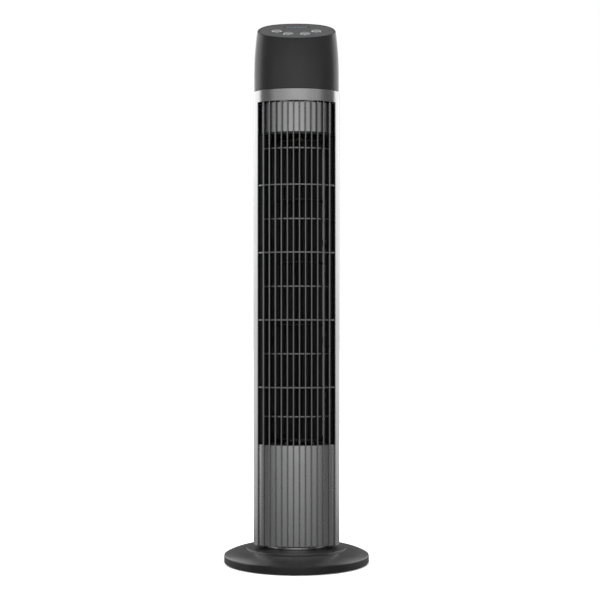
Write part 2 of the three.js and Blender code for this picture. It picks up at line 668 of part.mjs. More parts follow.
// The column's rear half: an upright wall with intake slots, screw bosses, the handle's
// opening and the cord inlet.
function rearShell() {
  const arc = Array.from({ length: INTAKE_SPLITS + 1 }, (_, i) => (i * 180) / INTAKE_SPLITS);
  const outer = arc.map((degrees) => skinPoint(degrees));
  const inner = arc.map((degrees) => skinPoint(degrees, WALL)).reverse();
  const half = prism([...outer, ...inner], COLUMN_BOTTOM, COLUMN_TOP);
  const trim = box(-FAR, FAR, WIDEST_Y - OVERCUT, WIDEST_Y + GAP, 0, COLUMN_TOP + OVERCUT);
  const bosses = shellScrewPlaces().map(([x, z]) => {
    const start = rearY(x, WALL) - SHELL_BOSS_LENGTH;
    return crossCylinder(SHELL_BOSS_RADIUS, start, rearY(x + SHELL_BOSS_RADIUS, WALL / 2), x, z);
  });
  const screwSeats = shellScrewPlaces().flatMap(([x, z]) => {
    const seat = screwSeatY();
    return [
      crossCylinder(SCREW_HEAD_RADIUS + 2 * GAP, seat, REAR_REACH, x, z),
      crossCylinder(SCREW_RADIUS + GAP, 0, REAR_REACH, x, z, ROUND_SCREW),
    ];
  });
  const inlet = crossCylinder(GLAND_RADIUS + GAP, 0, REAR_REACH, 0, glandZ);
  const handle = handlePrism(GAP, 0, REAR_REACH);
  return cut(join(half, ...bosses), trim, ...intakeSlots(), ...screwSeats, inlet, handle);
}

const screwSeatY = () => rearY(SHELL_SCREW_X + SCREW_HEAD_RADIUS) - SCREW_HEAD_HEIGHT - 2 * GAP;
const glandZ = FLOOR_TOP + GLAND_RISE;

function intakeSlots() {
  const [low, high] = [GRILLE_BOTTOM + INTAKE_MARGIN, BEARING_PLATE_BOTTOM - INTAKE_MARGIN];
  const rowPitch = (high - low + INTAKE_ROW_GAP) / INTAKE_ROWS;
  const flat = 180 / INTAKE_SPLITS;
  const slots = [];
  for (let column = 0; column < INTAKE_COLUMNS; column++)
    for (let row = 0; row < INTAKE_ROWS; row++) {
      const start = 90 + (column - INTAKE_COLUMNS / 2) * flat;
      const [[fromX, fromY], [toX, toY]] = [start, start + flat].map((at) => skinPoint(at, WALL / 2));
      const z0 = low + row * rowPitch;
      const depth = 3 * WALL;
      const slot = new THREE.BoxGeometry(INTAKE_SLOT_WIDTH, depth, rowPitch - INTAKE_ROW_GAP);
      slot.rotateZ(Math.atan2(toY - fromY, toX - fromX));
      slot.translate((fromX + toX) / 2, (fromY + toY) / 2, z0 + (rowPitch - INTAKE_ROW_GAP) / 2);
      slots.push(solid(slot));
    }
  return slots;
}

function frontFrame() {
  const arc = Array.from({ length: FRONT_SPLITS + 1 }, (_, i) => 180 + (i * 180) / FRONT_SPLITS);
  const outer = arc.map((degrees) => skinPoint(degrees));
  const inner = arc.map((degrees) => skinPoint(degrees, WALL)).reverse();
  const half = prism([...outer, ...inner], COLUMN_BOTTOM, COLUMN_TOP);
  const opening = box(-OPENING_HALF_WIDTH, OPENING_HALF_WIDTH, -FAR, 0, 0, GRILLE_TOP);
  return cut(half, opening);
}

const barHeight = (i) => GRILLE_BOTTOM + FIRST_BAR_RISE + i * BAR_PITCH;

// Upright ribs tied together by cross bars; below the grille the ribs thin down and run on
// over the lower panel.
function frontGrille() {
  const [bottom, top] = [COLUMN_BOTTOM + GAP, GRILLE_TOP - GAP];
  const shoulder = GRILLE_BOTTOM + GAP;
  const ribs = Array.from({ length: RIB_COUNT }, (_, i) => {
    const x = (i - (RIB_COUNT - 1) / 2) * RIB_PITCH;
    const front = frontY(x) + RIB_SET_BACK;
    const side = Math.abs(x) - RIB_WIDTH / 2;
    const thinBack = frontY(side, PANEL_SET_BACK) - GAP;
    const back = Math.min(front + RIB_DEPTH, frontY(side, RIB_BACK + GAP) - GAP);
    const profile = [
      [front, bottom],
      [thinBack, bottom],
      [thinBack, shoulder],
      [back, shoulder],
      [back, top],
      [front, top],
    ];
    const shape = new THREE.Shape(profile.map(([y, z]) => new THREE.Vector2(y, z)));
    const rib = new THREE.ExtrudeGeometry(shape, { depth: RIB_WIDTH, bevelEnabled: false });
    rib.applyMatrix4(new THREE.Matrix4().set(0, 0, 1, 0, 1, 0, 0, 0, 0, 1, 0, 0, 0, 0, 0, 1));
    return solid(rib.translate(x - RIB_WIDTH / 2, 0, 0));
  });
  const reach = OPENING_HALF_WIDTH - GAP;
  const bars = Array.from({ length: BAR_COUNT }, (_, i) => {
    const z = barHeight(i);
    const depths = [BAR_SET_BACK, BAR_SET_BACK + RIB_DEPTH / 2];
    return frontStrip(-reach, reach, ...depths, z - BAR_HEIGHT / 2, z + BAR_HEIGHT / 2, 14);
  });
  return join(...ribs, ...bars);
}

function lowerPanel() {
  const reach = OPENING_HALF_WIDTH - GAP;
  return frontStrip(-reach, reach, PANEL_SET_BACK, PANEL_BACK, COLUMN_BOTTOM + GAP, GRILLE_BOTTOM);
}

function upperPanel() {
  const reach = OPENING_HALF_WIDTH - UPPER_PANEL_SIDE_GAP;
  const depths = [RIB_BACK + GAP, RIB_BACK + GAP + PANEL_WALL];
  return frontStrip(-reach, reach, ...depths, BEARING_PLATE_TOP + GAP, GRILLE_TOP - GAP);
}

// ---------------------------------------------------------------- cross-flow fan

// A wall of even thickness along a smooth line through the given points.
function ductWall(points) {
  const line = new THREE.SplineCurve(points.map(([x, y]) => new THREE.Vector2(x, y)));
  const steps = 12;
  const sides = [1, -1].map((side) =>
    Array.from({ length: steps + 1 }, (_, i) => {
      const [point, along] = [line.getPoint(i / steps), line.getTangent(i / steps)];
      const shift = (side * DUCT_WALL) / 2;
      return [point.x - along.y * shift, point.y + along.x * shift];
    }));
  return prism([...sides[0], ...sides[1].reverse()], DUCT_FLOOR_TOP + GAP, BEARING_PLATE_BOTTOM - GAP);
}

// A point round the impeller's axis, clearance mm outside the blades.
function roundImpeller(degrees, clearance) {
  const [x, y] = polar(IMPELLER_RADIUS + clearance, degrees);
  return [IMPELLER_X + x, IMPELLER_Y + y];
}

function lipPoint(x) {
  return [x, frontY(x, GUIDE_BAR_SET_BACK) + DUCT_WALL];
}

// Closes the space between a duct wall's front lip and the casing's side.
function lipFlange([x, y]) {
  const side = Math.sign(x);
  const [endX, endY] = [side * (OPENING_HALF_WIDTH + FLANGE_REACH), y + FLANGE_DROP];
  const plan = [[x - side * DUCT_WALL / 2, y], [endX, endY], [endX, endY + DUCT_WALL], [x, y + 2 * DUCT_WALL]];
  return prism(plan, DUCT_FLOOR_TOP + GAP, BEARING_PLATE_BOTTOM - GAP);
}

const SCROLL_LIP_X = -(OPENING_HALF_WIDTH - SCROLL_LIP_INSET);
const TONGUE_LIP_X = OPENING_HALF_WIDTH - TONGUE_LIP_INSET;

// The long curved wall on the left, with the slim bars that cross in front of the impeller.
function scrollWall() {
  const turns = SCROLL_LINE.map(([degrees, more]) => roundImpeller(degrees, IMPELLER_CLEARANCE + more));
  const wall = ductWall([lipPoint(SCROLL_LIP_X), ...turns]);
  const between = Array.from({ length: BAR_COUNT - 1 }, (_, i) => barHeight(i + 0.5));
  const ends = [GRILLE_BOTTOM + END_GUIDE_RISE, BEARING_PLATE_TOP - END_GUIDE_DROP];
  const bars = [...between, ...ends].map((z) => {
    const depths = [GUIDE_BAR_SET_BACK, GUIDE_BAR_SET_BACK + GUIDE_BAR_DEPTH];
    const [z0, z1] = [z - GUIDE_BAR_HEIGHT / 2, z + GUIDE_BAR_HEIGHT / 2];
    return frontStrip(SCROLL_LIP_X - 2 * GAP, TONGUE_LIP_X, ...depths, z0, z1, 12);
  });
  return join(wall, lipFlange(lipPoint(SCROLL_LIP_X)), ...bars);
}

function tongueWall() {
  const [lipX, lipY] = lipPoint(TONGUE_LIP_X);
  const turns = TONGUE_LINE.map(([degrees, more]) => roundImpeller(degrees, IMPELLER_CLEARANCE + more));
  const lip = [lipX, lipY + GUIDE_BAR_DEPTH + 2 * GAP];
  return join(ductWall([lip, ...turns]), lipFlange(lip));
}

function motorPlate() {
  const plate = columnPlate(DUCT_FLOOR_BOTTOM, DUCT_FLOOR_TOP, PANEL_BACK + GAP);
  const hub = { x: IMPELLER_X, y: IMPELLER_Y };
  const bore = cylinder(HUB_RADIUS + MOTOR_BORE_ROOM, DUCT_FLOOR_BOTTOM - OVERCUT, GRILLE_TOP, hub);
  const holes = motorScrewPlaces().map(([x, y]) => {
    const reach = { x, y, sides: ROUND_SCREW };
    return cylinder(SCREW_RADIUS + GAP, DUCT_FLOOR_BOTTOM - OVERCUT, GRILLE_TOP, reach);
  });
  return cut(plate, bore, ...holes);
}

const motorScrewPlaces = () =>
  around(MOTOR_SCREW_COUNT, 90).map((degrees) => {
    const [x, y] = polar(MOTOR_SCREW_CIRCLE, degrees);
    return [IMPELLER_X + x, IMPELLER_Y + y];
  });

function motorBody() {
  const bore = SHAFT_RADIUS + RUNNING;
  const [low, high] = [MOTOR_BOTTOM, MOTOR_TOP];
  const can = turned([
    [bore, low],
    [MOTOR_NOSE, low],
    [MOTOR_NOSE, low + MOTOR_NOSE_HEIGHT],
    [MOTOR_RADIUS - MOTOR_EDGE, low + MOTOR_NOSE_HEIGHT],
    [MOTOR_RADIUS, low + MOTOR_NOSE_HEIGHT + MOTOR_EDGE],
    [MOTOR_RADIUS, high - MOTOR_EDGE],
    [MOTOR_RADIUS - MOTOR_EDGE, high],
    [bore, high],
  ]).translate([IMPELLER_X, IMPELLER_Y, 0]);
  const holes = motorScrewPlaces().map(([x, y]) =>
    cylinder(SCREW_RADIUS + GAP, high - MOTOR_SCREW_DEPTH, high + OVERCUT, { x, y, sides: ROUND_SCREW }));
  return cut(can, ...holes);
}

// The wheel: thin discs with slanted blades right through them and a hub at each end.
function impellerWheel() {
  const whole = IMPELLER_CELLS.reduce((sum, share) => sum + share);
  const cell = (IMPELLER_TOP - IMPELLER_BOTTOM - DISC_THICKNESS) / whole;
  const discs = [0, ...IMPELLER_CELLS].map((_, i) => {
    const below = IMPELLER_CELLS.slice(0, i).reduce((sum, share) => sum + share, 0);
    const z = IMPELLER_BOTTOM + cell * below;
    return cylinder(IMPELLER_RADIUS, z, z + DISC_THICKNESS, { sides: ROUND_MEDIUM });
  });
  const blades = around(BLADE_COUNT, 0).map((degrees) => {
    const blade = new THREE.BoxGeometry(BLADE_CHORD, BLADE_THICKNESS, IMPELLER_TOP - IMPELLER_BOTTOM);
    blade.rotateZ(THREE.MathUtils.degToRad(BLADE_SLANT));
    blade.translate(IMPELLER_RADIUS - BLADE_CHORD / 2 - BLADE_INSET, 0, (IMPELLER_TOP + IMPELLER_BOTTOM) / 2);
    return solid(blade.rotateZ(THREE.MathUtils.degToRad(degrees)));
  });
  const hubs = [
    cylinder(HUB_RADIUS, IMPELLER_BOTTOM, IMPELLER_BOTTOM + HUB_LENGTH),
    cylinder(HUB_RADIUS, IMPELLER_TOP - HUB_LENGTH, IMPELLER_TOP),
  ];
  const bore = SHAFT_RADIUS + GAP;
  const bores = [
    cylinder(bore, IMPELLER_BOTTOM - OVERCUT, IMPELLER_BOTTOM + HUB_LENGTH + OVERCUT),
    cylinder(bore, IMPELLER_TOP - HUB_LENGTH - OVERCUT, IMPELLER_TOP + OVERCUT),
  ];
  return cut(join(...discs, ...blades, ...hubs), ...bores).translate([IMPELLER_X, IMPELLER_Y, 0]);
}

function shaft(z0, z1) {
  return turned([
    [0, z0],
    [SHAFT_RADIUS - SHAFT_CHAMFER, z0],
    [SHAFT_RADIUS, z0 + SHAFT_CHAMFER],
    [SHAFT_RADIUS, z1 - SHAFT_CHAMFER],
    [SHAFT_RADIUS - SHAFT_CHAMFER, z1],
    [0, z1],
  ], ROUND_SMALL);
}

const bushTop = BEARING_PLATE_TOP + BUSH_COLLAR_THICKNESS + GAP;
const motorShaft = () =>
  shaft(MOTOR_BOTTOM - SHAFT_TAIL, IMPELLER_BOTTOM + HUB_LENGTH - SHAFT_END_ROOM);
const upperShaft = () => shaft(IMPELLER_TOP - HUB_LENGTH + SHAFT_END_ROOM, bushTop + SHAFT_PROUD);

function bearingPlate() {
  const plate = columnPlate(BEARING_PLATE_BOTTOM, BEARING_PLATE_TOP, RIB_BACK + GAP);
  const lugs = [-1, 1].map((side) =>
    screwLug(side, BEARING_PLATE_BOTTOM, highScrewZ + SHELL_BOSS_RADIUS));
  const hub = { x: IMPELLER_X, y: IMPELLER_Y, sides: ROUND_MEDIUM };
  const bore = cylinder(BUSH_RADIUS + GAP, 0, BEARING_PLATE_TOP + OVERCUT, hub);
  return cut(join(plate, ...lugs), bore, ...screwHoles(highScrewZ));
}

function upperBush() {
  const inner = SHAFT_RADIUS + RUNNING;
  const seat = BEARING_PLATE_TOP + GAP;
  const bottom = bushTop - BUSH_LENGTH;
  return turned([
    [inner, bottom],
    [BUSH_RADIUS, bottom],
    [BUSH_RADIUS, seat],
    [BUSH_COLLAR, seat],
    [BUSH_COLLAR, bushTop],
    [inner, bushTop],
  ]);
}

// ---------------------------------------------------------------- drive and electrics

// How far the pinion is turned so that one of its gaps meets a tooth of the fixed gear.
function pinionPhase() {
  const [sunPitch, meshAt] = [360 / SUN_TEETH, -90];
  const toothPast = Math.ceil(meshAt / sunPitch) * sunPitch - meshAt;
  return -meshAt - (toothPast * SUN_TEETH) / PINION_TEETH - 180 / PINION_TEETH;
}

function swingPinion() {
  const shank = cylinder(PINION_SHAFT_RADIUS, GEAR_TOP - BITE, SWING_MOTOR_BOTTOM - GAP);
  const outline = gearOutline(PINION_TEETH, PINION_RADIUS);
  const meshed = new THREE.ExtrudeGeometry(
    new THREE.Shape(outline.map(([x, y]) => new THREE.Vector2(x, y))),
    { depth: GEAR_THICKNESS, bevelEnabled: false },
  );
  meshed.rotateZ(THREE.MathUtils.degToRad(pinionPhase()));
  return join(solid(meshed.translate(0, 0, GEAR_BOTTOM)), shank);
}

function swingMotor() {
  const low = SWING_MOTOR_BOTTOM;
  const can = cylinder(SWING_MOTOR_RADIUS, low, low + SWING_MOTOR_HEIGHT, { sides: ROUND_MEDIUM });
  const ear = SWING_POST_REACH + SWING_POST_RADIUS;
  const ears = box(-ear, ear, -SWING_POST_RADIUS, SWING_POST_RADIUS, low, low + SWING_EAR_THICKNESS);
  return join(can, ears);
}

function mainBoard() {
  const [half, bottom] = [BOARD_WIDTH / 2, FLOOR_TOP + BOARD_RISE];
  const board = box(-half, half, BOARD_Y, BOARD_Y + BOARD_THICKNESS, bottom, bottom + BOARD_HEIGHT);
  const face = BOARD_Y + BITE;
  const blocks = BOARD_BLOCKS.map(([left, up, width, height, depth]) => {
    const [x, z] = [left - half, bottom + up];
    return box(x, x + width, face - depth, face, z, z + height);
  });
  const { radius, length, across, up } = CAPACITOR;
  return join(board, ...blocks, crossCylinder(radius, face - length, face, across - half, bottom + up));
}

// ---------------------------------------------------------------- rear fittings

const handleBottom = BEARING_PLATE_TOP + HANDLE_RISE;

// The handle opening's rounded outline, grown by a margin, from y0 to y1.
function handlePrism(margin, y0, y1) {
  const [half, height] = [HANDLE_HALF_WIDTH + margin, HANDLE_HEIGHT + 2 * margin];
  const corner = HANDLE_CORNER + margin;
  const [centreX, centreZ] = [half - corner, height / 2 - corner];
  const outline = around(20, 9).map((degrees) => {
    const [x, z] = polar(corner, degrees);
    return [x + Math.sign(x) * centreX, z + Math.sign(z) * centreZ];
  });
  const shape = new THREE.Shape(outline.map(([x, z]) => new THREE.Vector2(x, z)));
  const geometry = new THREE.ExtrudeGeometry(shape, { depth: y1 - y0, bevelEnabled: false });
  geometry.rotateX(Math.PI / 2).translate(0, y1, handleBottom + HANDLE_HEIGHT / 2);
  return solid(geometry);
}

function handleCup() {
  const back = rearY(0) - HANDLE_DEPTH;
  const skin = prism(planOutline(GAP), handleBottom - OVERCUT, handleBottom + HANDLE_HEIGHT + OVERCUT);
  const cup = handlePrism(0, back, REAR_REACH).intersect(skin);
  return cut(cup, handlePrism(-HANDLE_WALL, back + HANDLE_WALL, REAR_REACH + OVERCUT));
}

// The inlet bush for the mains lead: a collar outside the shell and a tube through it.
function cordGland() {
  const wallY = rearY(0);
  const profile = [
    [GLAND_BORE, -GLAND_LENGTH],
    [GLAND_RADIUS, -GLAND_LENGTH],
    [GLAND_RADIUS, GAP],
    [GLAND_COLLAR, GAP],
    [GLAND_COLLAR, GLAND_PROUD - GLAND_CHAMFER],
    [GLAND_COLLAR - GLAND_CHAMFER, GLAND_PROUD],
    [GLAND_BORE, GLAND_PROUD],
  ];
  return turned(profile, ROUND_SMALL).rotate([-90, 0, 0]).translate([0, wallY, glandZ]);
}

// ---------------------------------------------------------------- head

// How far the head's sides have come in at a height above its bottom.
function headTaper(rise) {
  const share = Math.max(0, rise - HEAD_STRAIGHT) / HEAD_TAPER_HEIGHT;
  return HEAD_TAPER * share * share;
}

// How far the rounded back has come forward at that height.
function backTaper(rise) {
  const share = Math.max(0, rise - HEAD_BACK_START) / (HEAD_HEIGHT - HEAD_BACK_START);
  return (REAR_REACH - HEAD_INSET - HEAD_RIDGE_REACH) * share * share;
}

// The head's outside as stacked rings, all of it inset mm inwards.
function headBlock(inset, start = 0) {
  const steps = 7;
  const top = HEAD_HEIGHT + HEAD_OVERRUN;
  const curved = Array.from({ length: steps + 1 }, (_, i) =>
    HEAD_STRAIGHT + (top - HEAD_STRAIGHT) * Math.sqrt(i / steps));
  const rises = [start, ...curved];
  const rings = rises.map((rise) => {
    const side = COLUMN_HALF_WIDTH - HEAD_INSET - inset - headTaper(rise);
    const front = FRONT_REACH - HEAD_INSET - inset - headTaper(rise);
    const back = REAR_REACH - HEAD_INSET - inset - Math.max(headTaper(rise), backTaper(rise));
    return around(ROUND_BASE, 0).map((degrees) => {
      const [cos, sin] = polar(1, degrees);
      return [side * cos, WIDEST_Y + (sin > 0 ? back : front) * sin, HEAD_BOTTOM + rise];
    });
  });
  return loft(rings);
}

// A slab parallel to the control face, from low to high along the face's own z.
function faceSlab(low, high) {
  const slab = new THREE.BoxGeometry(2 * FAR, 2 * FAR, high - low).translate(0, 0, (low + high) / 2);
  return solid(slab.applyMatrix4(FACE_MATRIX));
}

function faceCylinder(radius, low, high, x, along, sides = ROUND_SMALL) {
  const tool = new THREE.CylinderGeometry(radius, radius, high - low, sides);
  tool.rotateX(Math.PI / 2).translate(x, along, (low + high) / 2);
  return solid(tool.applyMatrix4(FACE_MATRIX));
}

function headShell() {
  const outside = cut(headBlock(0), faceSlab(0, FAR));
  const inside = headBlock(HEAD_WALL, -OVERCUT);
  const shell = cut(outside, inside);
  const ledgeSlab = faceSlab(CAP_BOTTOM - LEDGE_THICKNESS, CAP_BOTTOM);
  const ledgeBlock = headBlock(HEAD_WALL - LEDGE_BITE).intersect(ledgeSlab);
  const ledge = cut(ledgeBlock, headBlock(HEAD_WALL + LEDGE_WIDTH, -OVERCUT));
  const [spigotOuter, spigotInner] = [WALL + GAP, WALL + GAP + SPIGOT_WALL];
  const [low, high] = [COLUMN_TOP - SPIGOT_DEPTH, HEAD_BOTTOM + SPIGOT_LAP];
  const spigot = cut(
    prism(planOutline(spigotOuter), low, high),
    prism(planOutline(spigotInner), low - OVERCUT, high + OVERCUT),
  );
  return join(shell, ledge, spigot);
}

const buttonPlaces = () => ({
  button_power: { x: -OUTER_BUTTON.x, along: OUTER_BUTTON.along },
  button_speed: { x: -INNER_BUTTON.x, along: INNER_BUTTON.along },
  button_swing: { x: INNER_BUTTON.x, along: INNER_BUTTON.along },
  button_timer: { x: OUTER_BUTTON.x, along: OUTER_BUTTON.along },
});

function lensBox(margin, low, high) {
  const [width, height] = [2 * (LENS_HALF_WIDTH + margin), LENS_HEIGHT + 2 * margin];
  return new THREE.BoxGeometry(width, height, high - low).translate(0, LENS_ALONG, (low + high) / 2);
}

function topFace() {
  const bottom = -FACE_RECESS - FACE_THICKNESS;
  const plate = headBlock(HEAD_WALL + GAP).intersect(faceSlab(bottom, -FACE_RECESS));
  const holes = Object.values(buttonPlaces()).map(({ x, along }) =>
    faceCylinder(BUTTON_RADIUS + RUNNING, bottom - OVERCUT, OVERCUT, x, along));
  const window = lensBox(GAP, bottom - OVERCUT, OVERCUT).applyMatrix4(FACE_MATRIX);
  return cut(plate, ...holes, solid(window));
}

const displayLens = () => solid(lensBox(0, -FACE_RECESS - FACE_THICKNESS, -FACE_RECESS));

function button() {
  const top = BUTTON_PROUD - FACE_RECESS;
  const flange = CAP_BOTTOM - BUTTON_FLANGE_THICKNESS;
  return turned([
    [0, STEM_BOTTOM],
    [BUTTON_STEM_RADIUS, STEM_BOTTOM],
    [BUTTON_STEM_RADIUS, flange],
    [BUTTON_RADIUS + BUTTON_FLANGE, flange],
    [BUTTON_RADIUS + BUTTON_FLANGE, CAP_BOTTOM],
    [BUTTON_RADIUS, CAP_BOTTOM],
    [BUTTON_RADIUS, top - BUTTON_ROUND],
    [BUTTON_RADIUS - BUTTON_ROUND, top],
    [0, top - BUTTON_DISH],
  ], ROUND_SMALL);
}

function controlBoard() {
  const [low, high] = [CONTROL_BOARD_TOP - BOARD_THICKNESS, CONTROL_BOARD_TOP];
  const half = CONTROL_BOARD_HALF_WIDTH;
  const corner = CONTROL_BOARD_CORNER;
  const board = prism([
    [-half + corner, CONTROL_BOARD_FRONT],
    [half - corner, CONTROL_BOARD_FRONT],
    [half, CONTROL_BOARD_FRONT + corner],
    [half, CONTROL_BOARD_BACK - corner],
    [half - corner, CONTROL_BOARD_BACK],
    [-half + corner, CONTROL_BOARD_BACK],
    [-half, CONTROL_BOARD_BACK - corner],
    [-half, CONTROL_BOARD_FRONT + corner],
  ], low, high);
  const switches = Object.values(buttonPlaces()).map(({ x, along }) =>
    cylinder(SWITCH_RADIUS, high - BITE, SWITCH_TOP, { x, y: along }));
  const lights = box(
    -LENS_HALF_WIDTH, LENS_HALF_WIDTH, LENS_ALONG - LENS_HEIGHT / 2, LENS_ALONG + LENS_HEIGHT / 2,
    high - BITE, CAP_BOTTOM - GAP);
  return join(board, ...switches, lights);
}

// ---------------------------------------------------------------- assembly

const fan = new THREE.Group();

// Puts a solid in a group as a named mesh, at an offset if one is given.
function place(group, name, body, material, [x, y, z] = [0, 0, 0]) {
  const mesh = meshOf(name, body, material);
  mesh.position.set(x, y, z);
  group.add(mesh);
  return mesh;
}

function addBase() {
  const base = new THREE.Group();
  place(base, "base_cover", baseCover(), BLACK_PLASTIC);
  place(base, "base_plate", basePlate(), DARK_PLASTIC);
  place(base, "ballast_ring", ballastRing(), ZINC_CASE);
  around(FOOT_COUNT, -90).forEach((degrees, i) => {
    const [x, y] = polar(BASE_RADIUS - FOOT_CIRCLE_INSET, degrees);
    place(base, "foot_" + (i + 1), foot(), RUBBER, [x, y, 0]);
  });
  around(BASE_SCREW_COUNT, 45).forEach((degrees, i) => {
    const [x, y] = polar(BASE_SCREW_CIRCLE, degrees);
    place(base, "base_screw_" + (i + 1), screwBody(BASE_SCREW_LENGTH), STEEL, [x, y, FOOT_HEIGHT + GAP]);
  });
  place(base, "pivot_post", pivotPost(), STEEL);
  const flangeBottom = PLATEAU_TOP - BASE_WALL - GAP - POST_FLANGE_THICKNESS;
  around(POST_SCREW_COUNT, 90).forEach((degrees, i) => {
    const [x, y] = polar(POST_SCREW_CIRCLE, degrees);
    const z = flangeBottom - SCREW_HEAD_HEIGHT - GAP;
    place(base, "post_screw_" + (i + 1), screwBody(POST_SCREW_LENGTH), STEEL, [x, y, z]);
  });
  place(base, "swivel_washer", swivelWasher(), NYLON);
  place(base, "swing_gear", swingGear(), NYLON);
  place(base, "retaining_ring", retainingRing(), STEEL);
  fan.add(base);
}

function addColumn() {
  const column = new THREE.Group();
  place(column, "turntable", turntable(), GREY_METALLIC);
  place(column, "column_floor", columnFloor(), DARK_PLASTIC);
  place(column, "rear_shell", rearShell(), GREY_METALLIC);
  place(column, "front_frame", frontFrame(), GREY_METALLIC);
  place(column, "front_grille", frontGrille(), GREY_METALLIC);
  place(column, "lower_panel", lowerPanel(), GREY_METALLIC);
  place(column, "upper_panel", upperPanel(), GREY_METALLIC);
  place(column, "handle_cup", handleCup(), DARK_PLASTIC);
  place(column, "cord_gland", cordGland(), RUBBER);
  shellScrewPlaces().forEach(([x, z], i) => {
    const screw = place(column, "shell_screw_" + (i + 1), screwBody(SHELL_SCREW_LENGTH), STEEL);
    screw.rotation.x = Math.PI / 2;
    screw.position.set(x, screwSeatY() + SCREW_HEAD_HEIGHT + GAP, z);
  });
  fan.add(column);
}

function addFan() {
  const fanUnit = new THREE.Group();
  place(fanUnit, "scroll_wall", scrollWall(), DARK_PLASTIC);
  place(fanUnit, "tongue_wall", tongueWall(), DARK_PLASTIC);
  place(fanUnit, "motor_plate", motorPlate(), DARK_PLASTIC);
  place(fanUnit, "motor_body", motorBody(), ZINC_CASE);
  motorScrewPlaces().forEach(([x, y], i) => {
    const screw = place(fanUnit, "motor_screw_" + (i + 1), screwBody(MOTOR_SCREW_LENGTH), STEEL);
    screw.rotation.x = Math.PI;
    screw.position.set(x, y, DUCT_FLOOR_TOP + SCREW_HEAD_HEIGHT + GAP);
  });
  place(fanUnit, "impeller_wheel", impellerWheel(), DARK_PLASTIC);
  const axis = [IMPELLER_X, IMPELLER_Y, 0];
  place(fanUnit, "motor_shaft", motorShaft(), STEEL, axis);
  place(fanUnit, "upper_shaft", upperShaft(), STEEL, axis);
  place(fanUnit, "bearing_plate", bearingPlate(), DARK_PLASTIC);
  place(fanUnit, "upper_bush", upperBush(), BRONZE, axis);
  fan.add(fanUnit);
}

function addDrive() {
  const drive = new THREE.Group();
  place(drive, "swing_pinion", swingPinion(), NYLON, [0, SWING_AXIS_Y, 0]);
  place(drive, "swing_motor", swingMotor(), ZINC_CASE, [0, SWING_AXIS_Y, 0]);
  place(drive, "main_board", mainBoard(), BOARD);
  fan.add(drive);
}

function addHead() {
  const head = new THREE.Group();
  place(head, "head_shell", headShell(), BLACK_PLASTIC);
  place(head, "top_face", topFace(), FACE_PLASTIC);
  const controls = new THREE.Group();
  controls.applyMatrix4(FACE_MATRIX);
  place(controls, "display_lens", displayLens(), SMOKED_LENS);
  place(controls, "control_board", controlBoard(), BOARD);
  for (const [name, { x, along }] of Object.entries(buttonPlaces()))
    place(controls, name, button(), SILVER, [x, along, 0]);
  head.add(controls);
  fan.add(head);
}

addBase();
addColumn();
addFan();
addDrive();
addHead();

export default fan;
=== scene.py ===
"""Tower fan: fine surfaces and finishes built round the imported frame, on a plain pale stage.

Metres throughout, +Z up, the front faces -Y and the origin is on the floor under the base.
"""
import json
import logging
import math
from dataclasses import dataclass, field
from enum import Enum
from typing import Callable, Iterable, Sequence

import bmesh
import bpy
from mathutils import Matrix, Vector


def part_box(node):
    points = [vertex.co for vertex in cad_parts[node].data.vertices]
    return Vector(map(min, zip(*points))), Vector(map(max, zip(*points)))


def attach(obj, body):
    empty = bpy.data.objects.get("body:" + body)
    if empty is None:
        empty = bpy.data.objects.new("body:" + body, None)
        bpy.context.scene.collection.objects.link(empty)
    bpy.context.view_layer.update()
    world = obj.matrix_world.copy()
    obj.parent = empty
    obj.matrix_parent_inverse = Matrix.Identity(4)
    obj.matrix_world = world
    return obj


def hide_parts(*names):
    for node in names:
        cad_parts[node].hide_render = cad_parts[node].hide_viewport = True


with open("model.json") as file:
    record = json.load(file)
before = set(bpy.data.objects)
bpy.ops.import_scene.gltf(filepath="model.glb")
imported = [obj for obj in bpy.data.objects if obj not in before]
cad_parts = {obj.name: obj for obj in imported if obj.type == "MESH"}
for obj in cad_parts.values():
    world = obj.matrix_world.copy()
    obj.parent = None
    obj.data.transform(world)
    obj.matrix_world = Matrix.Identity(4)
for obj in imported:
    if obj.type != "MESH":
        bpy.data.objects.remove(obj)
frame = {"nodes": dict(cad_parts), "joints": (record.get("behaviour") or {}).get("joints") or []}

log = logging.getLogger("tower_fan")

MM = 0.001
QUARTER_TURN = math.pi / 2
HALF_TURN = math.pi
FULL_TURN = 2 * math.pi
GAP = 0.3 * MM  # between pieces that stand side by side
WELD = 1e-6  # points nearer than this are one point
TOUCH = 1e-5  # a quad that reaches less far than this into a rectangle only touches it
POST_BORE = 15.4 * MM  # in the base cover and the turntable, round the pivot post

Point = tuple[float, float]
Color = tuple[float, float, float]
Tree = bpy.types.NodeTree
Node = bpy.types.Node
Socket = bpy.types.NodeSocket


class Body(Enum):
    """The bodies of the frame that pieces ride on."""

    BASE = "base"
    TOWER = "tower"
    IMPELLER = "impeller"


class Slot(Enum):
    """The record's material slots."""

    COLUMN = "column_grey"
    SHELL = "black_shell"
    FACE = "control_face"
    INNER = "inner_black"
    BUTTON = "button_silver"
    STEEL = "steel"
    BALLAST = "ballast_iron"
    MOTOR = "motor_case"
    BRONZE = "bronze"
    NYLON = "nylon"
    RUBBER = "rubber"
    BOARD = "circuit_board"
    LENS = "smoked_lens"


# ------------------------------------------------------------------ shader node groups


